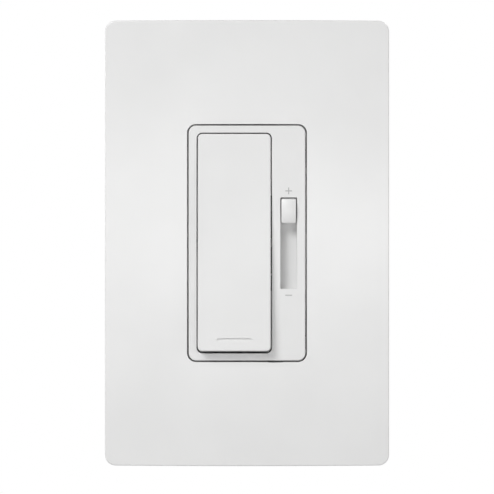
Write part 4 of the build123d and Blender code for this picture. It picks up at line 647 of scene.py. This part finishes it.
def screws_along_y(node, shape):
    """Copies of one screw that go in along +Y at each solid of the node."""
    places = []
    for box in solids_of(node):
        centre = middle(box)
        places.append(facing((centre.x, box[0].y, centre.z), (0, 1, 0)))
    stand_in(node + "_threaded", *copies(shape, places), node)


def head_radius(node):
    """Half the width of a node's first solid across X."""
    low, high = solids_of(node)[0]
    return (high.x - low.x) / 2


def screw_length(node, axis=1):
    """Length of a node's first solid along an axis."""
    low, high = solids_of(node)[0]
    return high[axis] - low[axis]


def make_box_screws():
    """The two long machine screws into the wall box, with cross recesses."""
    node = "box_screws"
    head_h, neck_r, thread_start, crest = 1.9 * MM, 1.4 * MM, 5.2 * MM, 1.75 * MM
    recess_size, recess_w, recess_depth = 3.4 * MM, 0.9 * MM, 1.0 * MM
    head = pan_head(head_radius(node), head_h)
    shape = screw(head, neck_r, thread_start, screw_length(node), crest, PITCH_6_32)
    shape = carved(shape, cross_cutters(recess_size, recess_w, recess_depth))
    screws_along_y(node, shape)


def make_flat_screws(node, shank_r, head_h, neck_r, thread_start, crest, pitch, slot_depth):
    """Countersunk screws with straight slots, which go in along +Y."""
    radius, length = head_radius(node), screw_length(node)
    head = flat_head(radius, shank_r, head_h)
    shape = screw(head, neck_r, thread_start, length, crest, pitch)
    screws_along_y(node, slotted(shape, radius, slot_depth))


def make_plate_screws():
    """The two screws that hold the carrier of the wall plate."""
    make_flat_screws(
        "wall_plate_screws",
        shank_r=1.75 * MM,
        head_h=1.3 * MM,
        neck_r=1.5 * MM,
        thread_start=1.5 * MM,
        crest=1.75 * MM,
        pitch=PITCH_6_32,
        slot_depth=0.7 * MM,
    )


def make_housing_screws():
    """Four coarse self-tapping screws through the strap into the housing's posts."""
    make_flat_screws(
        "housing_screws",
        shank_r=1.4 * MM,
        head_h=0.9 * MM,
        neck_r=1.1 * MM,
        thread_start=1.3 * MM,
        crest=1.4 * MM,
        pitch=PITCH_TAPPING,
        slot_depth=0.35 * MM,
    )


def make_triac_screw():
    """The small screw that clamps the triac to the strap."""
    make_flat_screws(
        "triac_screw",
        shank_r=1.5 * MM,
        head_h=0.8 * MM,
        neck_r=1.4 * MM,
        thread_start=1.6 * MM,
        crest=1.5 * MM,
        pitch=PITCH_M3,
        slot_depth=0.35 * MM,
    )


# The terminal screws and the ground screw are of one size and differ in their heads.
TERMINAL_NECK_R, TERMINAL_CREST_R = 1.7 * MM, 2.08 * MM
TERMINAL_HEAD_H, TERMINAL_SLOT_DEPTH = 1.9 * MM, 0.95 * MM


def terminal_screw(head, radius, thread_start, length):
    """A slotted screw for a wire, with the rings of its head and that head's radius."""
    shape = screw(head, TERMINAL_NECK_R, thread_start, length, TERMINAL_CREST_R, PITCH_8_32)
    return slotted(shape, radius, TERMINAL_SLOT_DEPTH)


def make_terminal_screws(node, side):
    """Binding-head screws that go in sideways, towards the middle of the housing."""
    low, high = solids_of(node)[0]
    radius, thread_start = (high.z - low.z) / 2, 3.0 * MM
    head = binding_head(radius, TERMINAL_HEAD_H)
    shape = terminal_screw(head, radius, thread_start, screw_length(node, 0))
    places = []
    for box in solids_of(node):
        centre = middle(box)
        outer_x = box[1].x if side > 0 else box[0].x
        places.append(facing((outer_x, centre.y, centre.z), (-side, 0, 0)))
    stand_in(node + "_threaded", *copies(shape, places), node)


def make_ground_screw():
    """The hexagon-headed green screw on the strap's tab."""
    low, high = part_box("ground_screw")
    apothem, thread_start = 3.6 * MM, 3.6 * MM
    head = hexagon_head(apothem, TERMINAL_HEAD_H)
    shape = terminal_screw(head, apothem, thread_start, high.x - low.x)
    centre = middle((low, high))
    place = facing((low.x, centre.y, centre.z), (1, 0, 0))
    stand_in("ground_screw_threaded", *copies(shape, [place]), "ground_screw")


make_box_screws()
make_plate_screws()
make_housing_screws()
make_triac_screw()
make_terminal_screws("brass_terminal_screws", 1)
make_terminal_screws("black_terminal_screw", -1)
make_ground_screw()


# ---------------------------------------------------------------- slider knob
KNOB_EDGE_R, KNOB_CORNER_R = 0.15 * MM, 0.35 * MM
KNOB_CROWN_W, KNOB_CROWN_H = 0.34 * MM, 0.7 * MM
KNOB_STEPS = 24
POCKET_HALF_W, POCKET_HALF_H, POCKET_CLEARANCE = 0.55 * MM, 1.75 * MM, 0.05 * MM


def rounded_point(u, v, half_w, half_h, corner_r):
    """A point of a rounded rectangle for u and v from -1 to 1, and its distance inside the outline."""
    x, z = u * half_w, v * half_h
    past_x, past_z = abs(x) - (half_w - corner_r), abs(z) - (half_h - corner_r)
    if past_x > 0 and past_z > 0:
        reach = max(past_x, past_z)
        scale = reach / sqrt(past_x**2 + past_z**2)
        x += (past_x * scale - past_x) * (1 if x > 0 else -1)
        z += (past_z * scale - past_z) * (1 if z > 0 else -1)
        return x, z, corner_r - reach
    return x, z, min(half_w - abs(x), half_h - abs(z))


def eased(step, steps):
    """Spacing from -1 to 1 that is finer towards both ends."""
    return sin(pi / 2 * (2 * step / steps - 1))


def pillow_block(low, high, edge_r, corner_r, crown_w, crown_h, steps):
    """A block whose front, towards -Y, is crowned both ways and rounded along its edges."""
    centre, half = (low + high) / 2, (high - low) / 2
    vertices, faces = [], []
    side = steps + 1
    for i in range(side):
        for j in range(side):
            u, v = eased(i, steps), eased(j, steps)
            x, z, inside = rounded_point(u, v, half.x, half.z, corner_r)
            lean = max(0.0, 1 - inside / edge_r)
            roll = edge_r * (1 - sqrt(max(0.0, 1 - lean**2)))
            crown = crown_w * (x / half.x) ** 2 + crown_h * (z / half.z) ** 2
            vertices.append(Vector((centre.x + x, low.y + crown + roll, centre.z + z)))
    for i in range(steps):
        for j in range(steps):
            here, beside = i * side + j, (i + 1) * side + j
            faces.append((here, beside, beside + 1, here + 1))
    rim = [i * side for i in range(steps)]
    rim += [steps * side + j for j in range(steps)]
    rim += [i * side + steps for i in range(steps, 0, -1)]
    rim += list(range(steps, 0, -1))
    start = len(vertices)
    vertices += [Vector((vertices[corner].x, high.y, vertices[corner].z)) for corner in rim]
    count = len(rim)
    for k in range(count):
        following = (k + 1) % count
        faces.append((rim[k], start + k, start + following, rim[following]))
    faces.append(tuple(start + k for k in reversed(range(count))))
    return vertices, faces


def make_knob():
    """The knob, with the pocket that the lever's blade is pressed into."""
    low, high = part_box("slide_knob")
    shape = pillow_block(low, high, KNOB_EDGE_R, KNOB_CORNER_R, KNOB_CROWN_W, KNOB_CROWN_H, KNOB_STEPS)
    centre = middle((low, high))
    pocket_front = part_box("slide_lever")[0].y - POCKET_CLEARANCE
    past_back = high.y + MM
    pocket = block(
        (centre.x - POCKET_HALF_W, pocket_front, centre.z - POCKET_HALF_H),
        (centre.x + POCKET_HALF_W, past_back, centre.z + POCKET_HALF_H),
    )
    stand_in("slide_knob_moulded", *carved(shape, [pocket]), "slide_knob")


make_knob()


# ---------------------------------------------------------------- wire pieces
def tube(path, radius, sides):
    """A round wire along a list of points, closed at both ends."""
    vertices, faces = [], []
    previous = None
    for k, point in enumerate(path):
        ahead = path[min(k + 1, len(path) - 1)] - path[max(k - 1, 0)]
        ahead.normalize()
        if previous is None:
            across = ahead.orthogonal().normalized()
        else:
            across = (previous - ahead * previous.dot(ahead)).normalized()
        previous = across
        up = ahead.cross(across)
        for s in range(sides):
            angle = tau * s / sides
            vertices.append(point + radius * (cos(angle) * across + sin(angle) * up))
    for k in range(len(path) - 1):
        here, there = k * sides, (k + 1) * sides
        for s in range(sides):
            beside = (s + 1) % sides
            faces.append((here + s, here + beside, there + beside, there + s))
    last = (len(path) - 1) * sides
    faces.append(tuple(reversed(range(sides))))
    faces.append(tuple(last + s for s in range(sides)))
    return vertices, faces


def joint_named(name):
    """A joint of the record."""
    return next(joint for joint in frame["joints"] if joint["name"] == name)


SPRING_TURNS, SPRING_WIRE_R = 7.5, 0.19 * MM
SPRING_STEPS, SPRING_SIDES = 18, 10
# Share of the spring's length by which its end turns are drawn closer together.
SPRING_CLOSING = 0.04


def make_spring():
    """The coil spring inside the paddle's boss, in line with the tilted paddle."""
    rock = joint_named("paddle_rock")
    tilt = radians(sum(rock["range_deg"]) / 2)
    low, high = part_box("detent_spring")
    half = (high - low) / 2
    radius = half.x - SPRING_WIRE_R
    length = 2 * (half.y - half.x * sin(tilt)) / cos(tilt) - 2 * SPRING_WIRE_R
    centre = middle((low, high))
    axis = Matrix.Rotation(-tilt, 3, "X")
    path = []
    steps = int(SPRING_TURNS * SPRING_STEPS)
    for k in range(steps + 1):
        share = k / steps
        angle = tau * SPRING_TURNS * share
        along = length * (share - 0.5 - SPRING_CLOSING * sin(tau * share))
        path.append(centre + axis @ Vector((radius * cos(angle), along, radius * sin(angle))))
    stand_in("detent_spring_coil", *tube(path, SPRING_WIRE_R, SPRING_SIDES), "detent_spring")


CHOKE_TURNS, CHOKE_WIRE_R, CHOKE_BORE_R = 22, 0.43 * MM, 4.6 * MM
CHOKE_STEPS, CHOKE_SIDES = 28, 8
CHOKE_START, CHOKE_END = radians(6), radians(284)
SQUARENESS = 0.45


def squared(wave):
    """A sine or cosine made boxier, so that a turn follows the square section of the core."""
    return abs(wave) ** SQUARENESS * (1 if wave > 0 else -1)


def make_choke_winding():
    """One layer of enamelled wire round the ring core, from one lead to the other."""
    low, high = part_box("choke_core")
    centre = middle((low, high))
    outer_r = (high.x - low.x) / 2
    mid_r = (outer_r + CHOKE_BORE_R) / 2
    half_w = (outer_r - CHOKE_BORE_R) / 2 + CHOKE_WIRE_R
    half_t = (high.y - low.y) / 2 + CHOKE_WIRE_R
    path = []
    steps = CHOKE_TURNS * CHOKE_STEPS
    for k in range(steps + 1):
        share = k / steps
        around = CHOKE_START + (CHOKE_END - CHOKE_START) * share
        turn = tau * CHOKE_TURNS * share - pi / 2
        radius = mid_r + half_w * squared(cos(turn))
        along = half_t * squared(sin(turn))
        path.append(centre + Vector((radius * cos(around), along, -radius * sin(around))))
    stand_in("choke_winding_turns", *tube(path, CHOKE_WIRE_R, CHOKE_SIDES), "choke_winding")


make_spring()
make_choke_winding()


# ---------------------------------------------------------------- solder
# Height above the board's back and radius, in millimetres.
SOLDER_PROFILE = [(0, 0.85), (0.08, 0.78), (0.22, 0.6), (0.45, 0.44), (0.75, 0.36), (0.95, 0.3)]
SOLDER_NODES = ("pot_pins", "triac_leads", "contact_strips", "fulcrum_bracket")
# Half the width of a pin that isn't at the middle of its solid.
TRIAC_PIN_HALF, STRIP_PIN_HALF = 0.25 * MM, 0.3 * MM


def pin_height(node, low, high):
    """Z of the soldered pin in a solid's box: at its low end, its outer end or its middle."""
    if node == "triac_leads":
        return low.z + TRIAC_PIN_HALF
    if node == "contact_strips":
        return low.z + STRIP_PIN_HALF if low.z < 0 else high.z - STRIP_PIN_HALF
    return middle((low, high)).z


def make_solder():
    """A fillet of solder where each soldered pin comes out of the back of the board."""
    board_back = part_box("circuit_board")[1].y
    shape = lathe(round_rings([(MM * height, MM * radius) for height, radius in SOLDER_PROFILE]))
    for node in SOLDER_NODES:
        places = []
        for low, high in solids_of(node):
            foot = (middle((low, high)).x, board_back, pin_height(node, low, high))
            places.append(facing(foot, (0, 1, 0)))
        stand_in("solder_" + node, *copies(shape, places), node, MATERIALS["solder"], replace=False)


make_solder()


# ---------------------------------------------------------------- floor
FLOOR_Z, FLOOR_HALF = -0.6, 3.4


def make_floor():
    """A plain pale floor, below what the camera sees."""
    corners = [(x * FLOOR_HALF, y * FLOOR_HALF, FLOOR_Z) for x, y in ((-1, -1), (1, -1), (1, 1), (-1, 1))]
    floor = new_object("floor", corners, [(0, 1, 2, 3)])
    moulded_plastic("floor_pale", (0.7, 0.7, 0.7), 0.7, grain=400, relief=0.02 * MM, spread=0.01)
    floor.data.materials.append(MATERIALS["floor_pale"])


make_floor()
